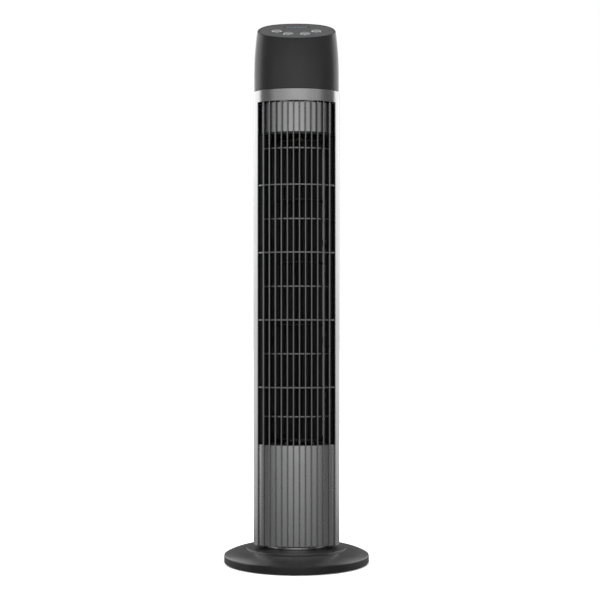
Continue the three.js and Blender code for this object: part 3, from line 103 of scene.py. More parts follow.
class Effects:
    """Node groups that several finishes share, each built once."""

    @staticmethod
    def _group(
        name: str, inputs: Iterable[tuple[str, str]], outputs: Iterable[tuple[str, str]]
    ) -> tuple[Tree, Node, Node]:
        """Start a node group.

        Args:
            name: the group's name.
            inputs: socket names and socket types.
            outputs: socket names and socket types.

        Returns:
            The tree, its input node and its output node.
        """
        tree = bpy.data.node_groups.new(name, "ShaderNodeTree")
        for label, kind in inputs:
            tree.interface.new_socket(label, in_out="INPUT", socket_type=kind)
        for label, kind in outputs:
            tree.interface.new_socket(label, in_out="OUTPUT", socket_type=kind)
        return tree, tree.nodes.new("NodeGroupInput"), tree.nodes.new("NodeGroupOutput")

    @classmethod
    def grain(cls) -> Tree:
        """Moulded grain: a fine height, a slow tone and the smudges of handling."""
        name = "moulded_grain"
        if name in bpy.data.node_groups:
            return bpy.data.node_groups[name]
        tree, start, end = cls._group(
            name,
            [("Vector", "NodeSocketVector"), ("Grain Scale", "NodeSocketFloat"),
             ("Smudge Scale", "NodeSocketFloat")],
            [("Height", "NodeSocketFloat"), ("Tone", "NodeSocketFloat"), ("Smudge", "NodeSocketFloat")],
        )
        links = tree.links
        fine = tree.nodes.new("ShaderNodeTexNoise")
        fine.inputs["Detail"].default_value = 3.0
        pits = tree.nodes.new("ShaderNodeTexVoronoi")
        smudge = tree.nodes.new("ShaderNodeTexNoise")
        smudge.inputs["Detail"].default_value = 4.0
        smudge.inputs["Distortion"].default_value = 0.6
        mix = tree.nodes.new("ShaderNodeMath")
        mix.operation = "MULTIPLY_ADD"
        mix.inputs[1].default_value = 0.5
        for node in (fine, pits, smudge):
            links.new(start.outputs["Vector"], node.inputs["Vector"])
        links.new(start.outputs["Grain Scale"], fine.inputs["Scale"])
        links.new(start.outputs["Grain Scale"], pits.inputs["Scale"])
        links.new(start.outputs["Smudge Scale"], smudge.inputs["Scale"])
        links.new(pits.outputs["Distance"], mix.inputs[0])
        links.new(fine.outputs["Fac"], mix.inputs[2])
        links.new(mix.outputs[0], end.inputs["Height"])
        links.new(fine.outputs["Fac"], end.inputs["Tone"])
        links.new(smudge.outputs["Fac"], end.inputs["Smudge"])
        return tree

    @classmethod
    def dust(cls) -> Tree:
        """Dust that settles on what faces up, broken by a soft noise."""
        name = "settled_dust"
        if name in bpy.data.node_groups:
            return bpy.data.node_groups[name]
        tree, start, end = cls._group(
            name,
            [("Vector", "NodeSocketVector"), ("Normal", "NodeSocketVector"),
             ("Amount", "NodeSocketFloat")],
            [("Mask", "NodeSocketFloat")],
        )
        links = tree.links
        noise = tree.nodes.new("ShaderNodeTexNoise")
        noise.inputs["Scale"].default_value = 45.0
        noise.inputs["Detail"].default_value = 6.0
        split = tree.nodes.new("ShaderNodeSeparateXYZ")
        facing = tree.nodes.new("ShaderNodeMapRange")
        facing.inputs["From Min"].default_value = 0.35
        broken = tree.nodes.new("ShaderNodeMath")
        broken.operation = "MULTIPLY"
        amount = tree.nodes.new("ShaderNodeMath")
        amount.operation = "MULTIPLY"
        amount.use_clamp = True
        links.new(start.outputs["Vector"], noise.inputs["Vector"])
        links.new(start.outputs["Normal"], split.inputs[0])
        links.new(split.outputs["Z"], facing.inputs["Value"])
        links.new(facing.outputs[0], broken.inputs[0])
        links.new(noise.outputs["Fac"], broken.inputs[1])
        links.new(broken.outputs[0], amount.inputs[0])
        links.new(start.outputs["Amount"], amount.inputs[1])
        links.new(amount.outputs[0], end.inputs["Mask"])
        return tree

    @classmethod
    def turned_lines(cls) -> Tree:
        """Fine rings left by a lathe, round the Z axis of the vector."""
        name = "turned_lines"
        if name in bpy.data.node_groups:
            return bpy.data.node_groups[name]
        tree, start, end = cls._group(
            name,
            [("Vector", "NodeSocketVector"), ("Ring Scale", "NodeSocketFloat")],
            [("Height", "NodeSocketFloat")],
        )
        links = tree.links
        split = tree.nodes.new("ShaderNodeSeparateXYZ")
        flat = tree.nodes.new("ShaderNodeCombineXYZ")
        radius = tree.nodes.new("ShaderNodeVectorMath")
        radius.operation = "LENGTH"
        packed = tree.nodes.new("ShaderNodeCombineXYZ")
        noise = tree.nodes.new("ShaderNodeTexNoise")
        noise.inputs["Detail"].default_value = 2.0
        links.new(start.outputs["Vector"], split.inputs[0])
        links.new(split.outputs["X"], flat.inputs["X"])
        links.new(split.outputs["Y"], flat.inputs["Y"])
        links.new(flat.outputs[0], radius.inputs[0])
        links.new(radius.outputs["Value"], packed.inputs["X"])
        links.new(split.outputs["Z"], packed.inputs["Z"])
        links.new(packed.outputs[0], noise.inputs["Vector"])
        links.new(start.outputs["Ring Scale"], noise.inputs["Scale"])
        links.new(noise.outputs["Fac"], end.inputs["Height"])
        return tree


# ------------------------------------------------------------------ finishes


@dataclass(frozen=True)
class Finish:
    """A procedural finish for a moulded or painted surface."""

    name: str
    color: Color
    roughness: float
    metallic: float = 0.0
    specular: float = 0.5
    coat: float = 0.0
    coat_roughness: float = 0.2
    grain_scale: float = 1400.0
    grain_height: float = 0.03 * MM
    tone_swing: float = 0.08
    smudge_scale: float = 14.0
    smudge_swing: float = 0.06
    dust: float = 0.0
    dust_color: Color = (0.35, 0.34, 0.32)

    def build(self) -> bpy.types.Material:
        """Make the material, or return it if it is there already."""
        found = bpy.data.materials.get(self.name)
        if found:
            return found
        material = bpy.data.materials.new(self.name)
        material.use_nodes = True
        tree = material.node_tree
        shader = tree.nodes["Principled BSDF"]
        shader.inputs["Specular IOR Level"].default_value = self.specular
        shader.inputs["Coat Weight"].default_value = self.coat
        shader.inputs["Coat Roughness"].default_value = self.coat_roughness
        shader.inputs["Metallic"].default_value = self.metallic
        coords = tree.nodes.new("ShaderNodeTexCoord")
        self.dress(tree, shader, coords)
        log.info("finish %s", self.name)
        return material

    def dress(self, tree: Tree, shader: Node, coords: Node) -> None:
        """Lay colour, roughness and relief over the shader.

        Args:
            tree: the material's tree.
            shader: its Principled shader.
            coords: its Texture Coordinate node.
        """
        grain = tree.nodes.new("ShaderNodeGroup")
        grain.node_tree = Effects.grain()
        grain.inputs["Grain Scale"].default_value = self.grain_scale
        grain.inputs["Smudge Scale"].default_value = self.smudge_scale
        tree.links.new(coords.outputs["Object"], grain.inputs["Vector"])
        color = self.shaded(tree, grain.outputs["Tone"])
        self.swing_roughness(tree, shader, grain.outputs["Smudge"])
        color = self.dusted(tree, coords, color)
        tree.links.new(color, shader.inputs["Base Color"])
        self.relief(tree, shader, grain.outputs["Height"])

    def shaded(self, tree: Tree, tone: Socket) -> Socket:
        """Swing the base colour a little either way with a tone mask."""
        mix = tree.nodes.new("ShaderNodeMix")
        mix.data_type = "RGBA"
        dark, light = 1 - self.tone_swing, 1 + self.tone_swing
        mix.inputs["A"].default_value = (*[dark * c for c in self.color], 1)
        mix.inputs["B"].default_value = (*[light * c for c in self.color], 1)
        tree.links.new(tone, mix.inputs["Factor"])
        return mix.outputs["Result"]

    def dusted(self, tree: Tree, coords: Node, color: Socket) -> Socket:
        """Mix settled dust into a colour, where the finish has any."""
        if not self.dust:
            return color
        dust = tree.nodes.new("ShaderNodeGroup")
        dust.node_tree = Effects.dust()
        dust.inputs["Amount"].default_value = self.dust
        tree.links.new(coords.outputs["Object"], dust.inputs["Vector"])
        tree.links.new(coords.outputs["Normal"], dust.inputs["Normal"])
        mix = tree.nodes.new("ShaderNodeMix")
        mix.data_type = "RGBA"
        mix.inputs["B"].default_value = (*self.dust_color, 1)
        tree.links.new(dust.outputs["Mask"], mix.inputs["Factor"])
        tree.links.new(color, mix.inputs["A"])
        return mix.outputs["Result"]

    def swing_roughness(self, tree: Tree, shader: Node, smudge: Socket) -> None:
        """Let a smudge mask move the roughness round its middle value."""
        spread = tree.nodes.new("ShaderNodeMapRange")
        spread.inputs["From Min"].default_value = 0.3
        spread.inputs["From Max"].default_value = 0.7
        spread.inputs["To Min"].default_value = self.roughness - self.smudge_swing
        spread.inputs["To Max"].default_value = self.roughness + self.smudge_swing
        tree.links.new(smudge, spread.inputs["Value"])
        tree.links.new(spread.outputs[0], shader.inputs["Roughness"])

    def relief(self, tree: Tree, shader: Node, height: Socket) -> None:
        """Raise the surface with a height mask."""
        bump = tree.nodes.new("ShaderNodeBump")
        bump.inputs["Strength"].default_value = 0.6
        bump.inputs["Distance"].default_value = self.grain_height
        tree.links.new(height, bump.inputs["Height"])
        tree.links.new(bump.outputs[0], shader.inputs["Normal"])


@dataclass(frozen=True)
class TurnedMetal(Finish):
    """Bare metal with fine lathe rings round an axis."""

    metallic: float = 1.0
    centre: tuple[float, float, float] = (0.0, 0.0, 0.0)
    tilt: float = 0.0
    ring_scale: float = 5000.0

    def dress(self, tree: Tree, shader: Node, coords: Node) -> None:
        """Lay the rings and the smudges over the metal.

        Args:
            tree: the material's tree.
            shader: its Principled shader.
            coords: its Texture Coordinate node.
        """
        place = tree.nodes.new("ShaderNodeMapping")
        place.vector_type = "TEXTURE"
        place.inputs["Location"].default_value = self.centre
        place.inputs["Rotation"].default_value = (self.tilt, 0, 0)
        lines = tree.nodes.new("ShaderNodeGroup")
        lines.node_tree = Effects.turned_lines()
        lines.inputs["Ring Scale"].default_value = self.ring_scale
        grain = tree.nodes.new("ShaderNodeGroup")
        grain.node_tree = Effects.grain()
        grain.inputs["Grain Scale"].default_value = self.grain_scale
        grain.inputs["Smudge Scale"].default_value = self.smudge_scale
        tree.links.new(coords.outputs["Object"], place.inputs["Vector"])
        tree.links.new(place.outputs[0], lines.inputs["Vector"])
        tree.links.new(coords.outputs["Object"], grain.inputs["Vector"])
        color = self.shaded(tree, lines.outputs["Height"])
        self.swing_roughness(tree, shader, grain.outputs["Smudge"])
        tree.links.new(color, shader.inputs["Base Color"])
        self.relief(tree, shader, lines.outputs["Height"])


@dataclass(frozen=True)
class BoardFinish(Finish):
    """Green solder mask with the lines of the tracks under it."""

    track_scale: float = 260.0
    track_color: Color = (0.05, 0.19, 0.09)

    def shaded(self, tree: Tree, tone: Socket) -> Socket:
        """Draw straight tracks and round lands over the mask's colour."""
        coords = tree.nodes.new("ShaderNodeTexCoord")
        tracks = tree.nodes.new("ShaderNodeTexBrick")
        tracks.inputs["Scale"].default_value = self.track_scale
        tracks.inputs["Mortar Size"].default_value = 0.06
        tracks.inputs["Color1"].default_value = (*self.color, 1)
        tracks.inputs["Color2"].default_value = (*[c * 0.85 for c in self.color], 1)
        tracks.inputs["Mortar"].default_value = (*self.track_color, 1)
        mix = tree.nodes.new("ShaderNodeMix")
        mix.data_type = "RGBA"
        mix.inputs["B"].default_value = (*self.track_color, 1)
        dim = tree.nodes.new("ShaderNodeMapRange")
        dim.inputs["From Min"].default_value = 0.55
        dim.inputs["From Max"].default_value = 0.75
        tree.links.new(coords.outputs["Object"], tracks.inputs["Vector"])
        tree.links.new(tone, dim.inputs["Value"])
        tree.links.new(dim.outputs[0], mix.inputs["Factor"])
        tree.links.new(tracks.outputs["Color"], mix.inputs["A"])
        return mix.outputs["Result"]


@dataclass(frozen=True)
class MarkFinish(Finish):
    """Printed or faintly lit marks; where printed marks are given a glow, it is a painted glow."""

    glow: float = 0.0

    def dress(self, tree: Tree, shader: Node, coords: Node) -> None:
        """Add the glow to the common dress.

        Args:
            tree: the material's tree.
            shader: its Principled shader.
            coords: its Texture Coordinate node.
        """
        super().dress(tree, shader, coords)
        shader.inputs["Emission Color"].default_value = (*self.color, 1)
        shader.inputs["Emission Strength"].default_value = self.glow


COLUMN_PAINT = Finish(
    "satin_metallic_grey", (0.385, 0.385, 0.39), 0.27, metallic=1.0,
    grain_scale=2600, grain_height=0.012 * MM, tone_swing=0.07, smudge_swing=0.03, dust=0.05)
RIB_PAINT = Finish(
    "grille_metallic_grey", (0.25, 0.25, 0.255), 0.36, metallic=1.0,
    grain_scale=2600, grain_height=0.012 * MM, tone_swing=0.07, smudge_swing=0.03, dust=0.08)
SHELL_PLASTIC = Finish(
    "black_moulded_plastic", (0.012, 0.012, 0.0125), 0.33, grain_scale=1500, grain_height=0.02 * MM,
    tone_swing=0.15, smudge_swing=0.05, dust=0.05)
BASE_PLASTIC = Finish(
    "black_base_plastic", (0.007, 0.007, 0.0075), 0.32, grain_scale=1500, grain_height=0.012 * MM,
    tone_swing=0.15, smudge_swing=0.05, dust=0.07)
FACE_PLASTIC = Finish(
    "control_face_satin", (0.03, 0.03, 0.032), 0.3, grain_scale=2200, grain_height=0.015 * MM,
    tone_swing=0.1, smudge_scale=30, smudge_swing=0.05, dust=0.04)
INNER_PLASTIC = Finish(
    "matt_inner_black", (0.012, 0.012, 0.0125), 0.55, grain_scale=900, grain_height=0.05 * MM,
    tone_swing=0.2, dust=0.12)
WHEEL_PLASTIC = Finish(
    "impeller_black", (0.008, 0.008, 0.0085), 0.5, grain_scale=900, grain_height=0.03 * MM,
    tone_swing=0.2, dust=0.15)
RUBBER = Finish(
    "soft_rubber", (0.02, 0.02, 0.02), 0.85, specular=0.3, grain_scale=700, grain_height=0.08 * MM,
    tone_swing=0.25, dust=0.15)
STEEL = TurnedMetal("zinc_plated_steel", (0.55, 0.56, 0.58), 0.32, ring_scale=3000)
IRON = Finish(
    "cast_ballast_iron", (0.1, 0.095, 0.09), 0.62, metallic=0.9, grain_scale=500, grain_height=0.2 * MM,
    tone_swing=0.35, dust=0.2)
MOTOR_CASE = Finish(
    "zinc_motor_case", (0.42, 0.43, 0.44), 0.42, metallic=1.0, grain_scale=1100,
    grain_height=0.04 * MM, tone_swing=0.12)
BRONZE = TurnedMetal("sintered_bronze", (0.16, 0.1, 0.05), 0.5, ring_scale=2500)
NYLON = Finish(
    "natural_nylon", (0.68, 0.65, 0.58), 0.42, grain_scale=800, grain_height=0.03 * MM, tone_swing=0.05)
BOARD = BoardFinish("green_circuit_board", (0.02, 0.11, 0.045), 0.38, grain_scale=400, coat=0.3)
LENS = Finish(
    "smoked_lens", (0.012, 0.014, 0.016), 0.09, coat=0.5, coat_roughness=0.04, grain_scale=3000,
    grain_height=0.002 * MM, smudge_scale=60, smudge_swing=0.03)
# Printed ink is no lamp: the faint glow given to these marks is a painted glow.
PRINT_WITH_PAINTED_GLOW = MarkFinish(
    "printed_blue_marks_painted_glow", (0.07, 0.16, 0.2), 0.45, grain_scale=3000, grain_height=0.004 * MM, glow=0.15)
LIT_MARKS = MarkFinish(
    "lit_blue_marks", (0.08, 0.22, 0.3), 0.4, grain_scale=3000, grain_height=0.004 * MM, glow=0.5)
FLOOR_FINISH = Finish(
    "pale_studio_floor", (0.86, 0.86, 0.86), 0.6, specular=0.2, grain_scale=40, grain_height=0.02 * MM,
    tone_swing=0.01, smudge_scale=2)


# ------------------------------------------------------------------ mesh work


def loop_of(bm: bmesh.types.BMesh, points: Iterable[Sequence[float]]) -> list[bmesh.types.BMEdge]:
    """Add a closed loop of edges through points.

    Args:
        bm: the mesh that takes it.
        points: its corners, in order.

    Returns:
        The loop's edges.
    """
    verts = [bm.verts.new(point) for point in points]
    return [bm.edges.new((a, b)) for a, b in zip(verts, verts[1:] + verts[:1])]


def verts_of(made: dict) -> list[bmesh.types.BMVert]:
    """The points among what an operator made."""
    return [g for g in made["geom"] if isinstance(g, bmesh.types.BMVert)]


def ring_of(made: dict) -> list[bmesh.types.BMEdge]:
    """The edges at the far end of what an operator extruded."""
    ring = set(verts_of(made))
    return [g for g in made["geom"] if isinstance(g, bmesh.types.BMEdge) and set(g.verts) <= ring]


def on_circle(edge: bmesh.types.BMEdge, radius: float, height: float) -> bool:
    """Whether an edge lies on a level circle about the Z axis.

    Args:
        edge: the edge.
        radius: the circle's radius.
        height: the circle's height.

    Returns:
        True if both its ends do.
    """
    near = 0.1 * MM
    return all(abs(v.co.xy.length - radius) < near and abs(v.co.z - height) < near for v in edge.verts)


def made_solid(bm: bmesh.types.BMesh) -> bmesh.types.BMesh:
    """Weld doubles and turn every face out."""
    bmesh.ops.remove_doubles(bm, verts=bm.verts, dist=WELD)
    bmesh.ops.recalc_face_normals(bm, faces=bm.faces)
    return bm


def soften(
    bm: bmesh.types.BMesh,
    width: float,
    segments: int = 2,
    sharper_than: float = 40.0,
    chosen: Callable[[bmesh.types.BMEdge], bool] | None = None,
) -> bmesh.types.BMesh:
    """Round the sharp edges.

    Args:
        bm: the closed mesh.
        width: how far back the rounding starts on each side.
        segments: how many steps it has.
        sharper_than: the smallest angle between two faces that counts, in degrees.
        chosen: a further test that an edge has to pass.

    Returns:
        The same mesh.
    """
    least = math.radians(sharper_than)
    edges = [
        e for e in bm.edges
        if len(e.link_faces) == 2 and e.calc_face_angle(0) > least and (chosen is None or chosen(e))
    ]
    if edges:
        bmesh.ops.bevel(
            bm, geom=edges, offset=width, offset_type="OFFSET", segments=segments, profile=0.5,
            affect="EDGES", clamp_overlap=True, loop_slide=True, material=-1)
    return bm


def grid_of(across: int, up: int, place: Callable[[int, int], Sequence[float]]) -> bmesh.types.BMesh:
    """Lay a grid of quads and put each of its points in place.

    Args:
        across: how many quads it has one way.
        up: how many it has the other way.
        place: gives the place of the point in a column and a row.

    Returns:
        The open mesh.
    """
    bm = bmesh.new()
    bmesh.ops.create_grid(bm, x_segments=across, y_segments=up, size=0.5)
    for vert in bm.verts:
        vert.co = place(round((vert.co.x + 0.5) * across), round((vert.co.y + 0.5) * up))
    return bm


def spun(profile: Sequence[Point], steps: int, closed: bool = False) -> bmesh.types.BMesh:
    """Turn a profile of (radius, height) pairs about the Z axis.

    Args:
        profile: the points, from the axis to the axis unless it is closed.
        steps: how many facets a full turn has.
        closed: whether the last point joins the first.

    Returns:
        A closed mesh.
    """
    bm = bmesh.new()
    verts = [bm.verts.new((radius, 0, height)) for radius, height in profile]
    pairs = list(zip(verts, verts[1:])) + ([(verts[-1], verts[0])] if closed else [])
    edges = [bm.edges.new(pair) for pair in pairs]
    bmesh.ops.spin(
        bm, geom=verts + edges, cent=(0, 0, 0), axis=(0, 0, 1), dvec=(0, 0, 0), angle=FULL_TURN,
        steps=steps, use_merge=True, use_duplicate=False)
    return made_solid(bm)


def pushed_out(bm: bmesh.types.BMesh, faces: list[bmesh.types.BMFace], move: Sequence[float]) -> None:
    """Extrude flat faces by a vector and keep the first ones, which closes the body.

    Args:
        bm: the mesh that holds them.
        faces: the faces to extrude.
        move: the vector.
    """
    made = bmesh.ops.extrude_face_region(bm, geom=faces, use_keep_orig=True)
    bmesh.ops.translate(bm, verts=verts_of(made), vec=move)


def plate_from(points: Iterable[Sequence[float]], move: Sequence[float]) -> bmesh.types.BMesh:
    """Extrude an outline into a closed plate.

    Args:
        points: the outline's corners.
        move: how far it is extruded, as a vector.

    Returns:
        The closed mesh.
    """
    bm = bmesh.new()
    face = bm.faces.new([bm.verts.new(point) for point in points])
    pushed_out(bm, [face], move)
    return made_solid(bm)


def add_to(target: bmesh.types.BMesh, part: bmesh.types.BMesh) -> bmesh.types.BMesh:
    """Add one mesh to another and free it."""
    scratch = bpy.data.meshes.new("scratch")
    part.to_mesh(scratch)
    part.free()
    target.from_mesh(scratch)
    bpy.data.meshes.remove(scratch)
    return target


def rounded_box(half_width: float, half_height: float, corner: float, spacing: float) -> list[Point]:
    """The outline of a rectangle with round corners, about the origin.

    Args:
        half_width: half its width.
        half_height: half its height.
        corner: the corners' radius.
        spacing: the longest step along the straight sides.

    Returns:
        Its points, anticlockwise.
    """
    arcs, arc_steps = [], 6
    for quarter, (sx, sy) in enumerate([(1, 1), (-1, 1), (-1, -1), (1, -1)]):
        x, y = sx * (half_width - corner), sy * (half_height - corner)
        angles = [math.radians(90 * quarter + 90 * i / arc_steps) for i in range(arc_steps + 1)]
        arcs.append([(x + corner * math.cos(a), y + corner * math.sin(a)) for a in angles])
    outline: list[Point] = []
    for arc, following in zip(arcs, arcs[1:] + arcs[:1]):
        outline.extend(arc)
        (x0, y0), (x1, y1) = arc[-1], following[0]
        count = max(1, math.ceil(math.hypot(x1 - x0, y1 - y0) / spacing))
        outline.extend((x0 + (x1 - x0) * i / count, y0 + (y1 - y0) * i / count) for i in range(1, count))
    return outline


def share_inside(outline: Sequence[Point], arm: Vector) -> float:
    """How much of an arm from the origin lies inside an outline round the origin.

    Args:
        outline: the outline's corners.
        arm: the arm, whose end is outside the outline.

    Returns:
        The share, from nothing to one.
    """
    parallel, slack = 1e-12, 1e-9
    for (x0, y0), (x1, y1) in zip(outline, [*outline[1:], outline[0]]):
        along = (x1 - x0, y1 - y0)
        across = arm.x * along[1] - arm.y * along[0]
        if abs(across) < parallel:
            continue
        share = (x0 * along[1] - y0 * along[0]) / across
        place = (x0 * arm.y - y0 * arm.x) / across
        if share > 0 and -slack <= place <= 1 + slack:
            return share
    return 1.0


def install(
    bm: bmesh.types.BMesh,
    name: str,
    finish: Finish,
    body: str,
    slot: Slot,
    stands_for: Sequence[str] = (),
    smooth_below: float = 34.0,
) -> bpy.types.Object:
    """Turn a finished mesh into a piece of the fan.

    Args:
        bm: the mesh, which is freed.
        name: the piece's name.
        finish: its finish.
        body: the body that it rides on.
        slot: the record's slot for its finish; not used.
        stands_for: the frame's nodes that it takes the place of.
        smooth_below: faces that meet below this angle are shaded as one surface, in degrees.

    Returns:
        The new object.
    """
    mesh = bpy.data.meshes.new(name)
    bm.to_mesh(mesh)
    bm.free()
    mesh.materials.append(finish.build())
    mesh.shade_smooth()
    mesh.set_sharp_from_angle(angle=math.radians(smooth_below))
    piece = bpy.data.objects.new(name, mesh)
    bpy.context.scene.collection.objects.link(piece)
    weighted = piece.modifiers.new("even_shading", "WEIGHTED_NORMAL")
    weighted.keep_sharp = True
    weighted.mode = "FACE_AREA_WITH_ANGLE"
    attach(piece, body)
    if stands_for:
        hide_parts(*stands_for)
    log.info("piece %s: %d faces, on %s", name, len(mesh.polygons), body)
    return piece


# ------------------------------------------------------------------ the column's plan


@dataclass(frozen=True)
class Plan:
    """The column's outline from above: an ellipse half at the front and another at the rear."""

    half_width: float
    front_reach: float
    rear_reach: float
    widest_y: float

    @classmethod
    def from_frame(cls) -> "Plan":
        """Read the outline off the front frame and the rear shell."""
        (_, front_y, _), front_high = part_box("front_frame")
        _, rear_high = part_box("rear_shell")
        return cls(front_high.x, front_high.y - front_y, rear_high.y - front_high.y, front_high.y)

    def at(self, angle: float, inset: float = 0.0) -> Point:
        """A point of the outline.

        Args:
            angle: anticlockwise from +X, in radians.
            inset: how far inside the outline.

        Returns:
            Its x and y.
        """
        reach = self.rear_reach if math.sin(angle) > 0 else self.front_reach
        x = (self.half_width - inset) * math.cos(angle)
        return x, self.widest_y + (reach - inset) * math.sin(angle)

    def front_y(self, x: float, inset: float = 0.0) -> float:
        """Where the front skin stands at x, inset metres inside the column."""
        share = x / (self.half_width - inset)
        return self.widest_y - (self.front_reach - inset) * math.sqrt(max(0.0, 1 - share * share))

    def rear_y(self, x: float, inset: float = 0.0) -> float:
        """Where the rear skin stands at x, inset metres inside the column."""
        share = x / (self.half_width - inset)
        return self.widest_y + (self.rear_reach - inset) * math.sqrt(max(0.0, 1 - share * share))


class BentSheet:
    """A flat grid of quads that is pierced, bent round a plan and given a wall."""

    def __init__(
        self, plan: Plan, angles: Sequence[float], heights: Sequence[float], inset: float = 0.0
    ) -> None:
        """Lay the grid out flat: x is the angle times the half width, y is the height.

        Args:
            plan: the outline that it is bent round.
            angles: the grid's upright lines, in radians.
            heights: its level lines.
            inset: how far inside the outline its outer face lies.
        """
        self.plan = plan
        self.inset = inset
        self.bm = grid_of(
            len(angles) - 1, len(heights) - 1,
            lambda column, row: (angles[column] * plan.half_width, heights[row], 0))

    def remove(self, low: Point, high: Point) -> list[bmesh.types.BMEdge]:
        """Take away the quads that reach into a rectangle.

        Args:
            low: its lower left corner on the flat sheet.
            high: its upper right corner.

        Returns:
            The edges round the hole.
        """
        gone = []
        for face in self.bm.faces:
            xs, ys = [v.co.x for v in face.verts], [v.co.y for v in face.verts]
            beside = min(xs) > high[0] - TOUCH or max(xs) < low[0] + TOUCH
            if not (beside or min(ys) > high[1] - TOUCH or max(ys) < low[1] + TOUCH):
                gone.append(face)
        edges = {edge for face in gone for edge in face.edges}
        rim = [e for e in edges if sum(f not in gone for f in e.link_faces) == 1]
        bmesh.ops.delete(self.bm, geom=gone, context="FACES_KEEP_BOUNDARY")
        inner = [e for e in self.bm.edges if not e.link_faces]
        bmesh.ops.delete(self.bm, geom=inner, context="EDGES")
        loose = [v for v in self.bm.verts if not v.link_edges]
        bmesh.ops.delete(self.bm, geom=loose, context="VERTS")
        return [e for e in rim if e.is_valid]

    def pierce(self, centre: Point, outline: Sequence[Point], margin: float) -> None:
        """Cut a hole and draw the grid round it in to the hole's outline, one quad to each side.

        Args:
            centre: the hole's middle on the flat sheet.
            outline: the hole's outline about its middle, on the flat sheet.
            margin: how far past the outline the grid is taken away.
        """
        half_x = max(x for x, _ in outline) + margin
        half_y = max(y for _, y in outline) + margin
        x, y = centre
        rim = self.remove((x - half_x, y - half_y), (x + half_x, y + half_y))
        middle = Vector((*centre, 0))
        drawn = {}
        for vert in {v for e in rim for v in e.verts}:
            arm = vert.co - middle
            drawn[vert] = self.bm.verts.new(middle + arm * share_inside(outline, arm))
        for edge in rim:
            a, b = edge.verts
            self.bm.faces.new((a, b, drawn[b], drawn[a]))

    def bent(self, wall: float) -> bmesh.types.BMesh:
        """Bend the sheet and give it a wall inwards.

        Args:
            wall: the wall's thickness.

        Returns:
            The closed mesh.
        """
        for vert in self.bm.verts:
            x, y = self.plan.at(vert.co.x / self.plan.half_width, self.inset)
            vert.co = (x, y, vert.co.y)
        bm = self.bm
        bmesh.ops.remove_doubles(bm, verts=bm.verts, dist=WELD)
        bmesh.ops.recalc_face_normals(bm, faces=bm.faces)
        face = bm.faces[:][0]
        outward = face.calc_center_median() - Vector((0, self.plan.widest_y, 0))
        if face.normal.dot(Vector((outward.x, outward.y, 0))) < 0:
            bmesh.ops.reverse_faces(bm, faces=bm.faces)
        bm.normal_update()
        bmesh.ops.solidify(bm, geom=bm.faces[:], thickness=wall)
        bmesh.ops.recalc_face_normals(bm, faces=bm.faces)
        return bm


# ------------------------------------------------------------------ fasteners


@dataclass
class Screw:
    """A round-headed screw with a cross recess; its head's top is at z = 0 and its tip at -length."""

    head_radius: float = 3.5 * MM
    head_height: float = 1.8 * MM
    shank_radius: float = 1.5 * MM
    length: float = 14 * MM
    recess_depth: float = 1.0 * MM
    recess_reach: float = 2.0 * MM
    recess_waist: float = 0.62 * MM
    recess_taper: float = 0.85
    arm_half_angle: float = math.radians(20)
    sides: int = 24
    thread_pitch: float = 1.0 * MM
    thread_root: float = 0.82
    head_round: float = 0.5 * MM

    def mesh(self) -> bmesh.types.BMesh:
        """Build the screw from its head's disc down."""
        bm = bmesh.new()
        bmesh.ops.create_circle(bm, cap_ends=True, segments=self.sides, radius=self.head_radius)
        bmesh.ops.inset_individual(
            bm, faces=bm.faces[:], thickness=self.head_radius - self.recess_reach, depth=0)
        disc = max(bm.faces, key=lambda f: len(f.verts))
        for vert in disc.verts:
            angle = math.atan2(vert.co.y, vert.co.x)
            arm = round(angle / QUARTER_TURN) * QUARTER_TURN
            reach = self.recess_reach if abs(angle - arm) < self.arm_half_angle else self.recess_waist
            vert.co.xy = Vector((math.cos(angle), math.sin(angle))) * reach
        self._step(bm, list(disc.edges), Vector((0, 0, -self.recess_depth)), self.recess_taper)
        floor = [e for e in bm.edges if e.is_boundary and e.verts[0].co.z < -WELD]
        bmesh.ops.delete(bm, geom=[disc], context="FACES_ONLY")
        bmesh.ops.edgeloop_fill(bm, edges=floor)
        rim = [e for e in bm.edges if e.is_boundary]
        rim = self._step(bm, rim, Vector((0, 0, -self.head_height)), 1)
        rim = self._step(bm, rim, Vector(), self.shank_radius / self.head_radius)
        threads = int((self.length - self.head_height) / self.thread_pitch)
        drop = Vector((0, 0, -(self.length - self.head_height) / (2 * threads)))
        for _ in range(threads):
            rim = self._step(bm, rim, drop, self.thread_root)
            rim = self._step(bm, rim, drop, 1 / self.thread_root)
        bmesh.ops.edgeloop_fill(bm, edges=rim)
        made_solid(bm)
        return soften(bm, self.head_round, 2, 60, lambda e: on_circle(e, self.head_radius, 0))

    @staticmethod
    def _step(
        bm: bmesh.types.BMesh, edges: list[bmesh.types.BMEdge], move: Vector, scale: float
    ) -> list[bmesh.types.BMEdge]:
        """Extrude a ring of edges, move it and scale it about the axis.

        Args:
            bm: the mesh.
            edges: the ring.
            move: the move.
            scale: the scale in x and y.

        Returns:
            The new ring.
        """
        made = bmesh.ops.extrude_edge_only(bm, edges=edges)
        verts = verts_of(made)
        bmesh.ops.scale(bm, vec=(scale, scale, 1), verts=verts)
        bmesh.ops.translate(bm, vec=move, verts=verts)
        return ring_of(made)

    def stand_in(self, node: str, body: Body, direction: Vector) -> None:
        """Put a screw where a screw of the frame is.

        Args:
            node: the frame's screw.
            body: the body it rides on.
            direction: the way that its head faces.
        """
        low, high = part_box(node)
        self.length = max(high - low)
        centre = (low + high) / 2
        along = Vector(abs(c) for c in direction)
        top = centre + direction * (high - low).dot(along) / 2
        bm = self.mesh()
        turn = direction.to_track_quat("Z", "Y").to_matrix().to_4x4()
        bmesh.ops.transform(bm, matrix=Matrix.Translation(top) @ turn, verts=bm.verts)
        install(bm, f"{node}_fine", STEEL, body.value, Slot.STEEL, [node], smooth_below=50)


# ------------------------------------------------------------------ base


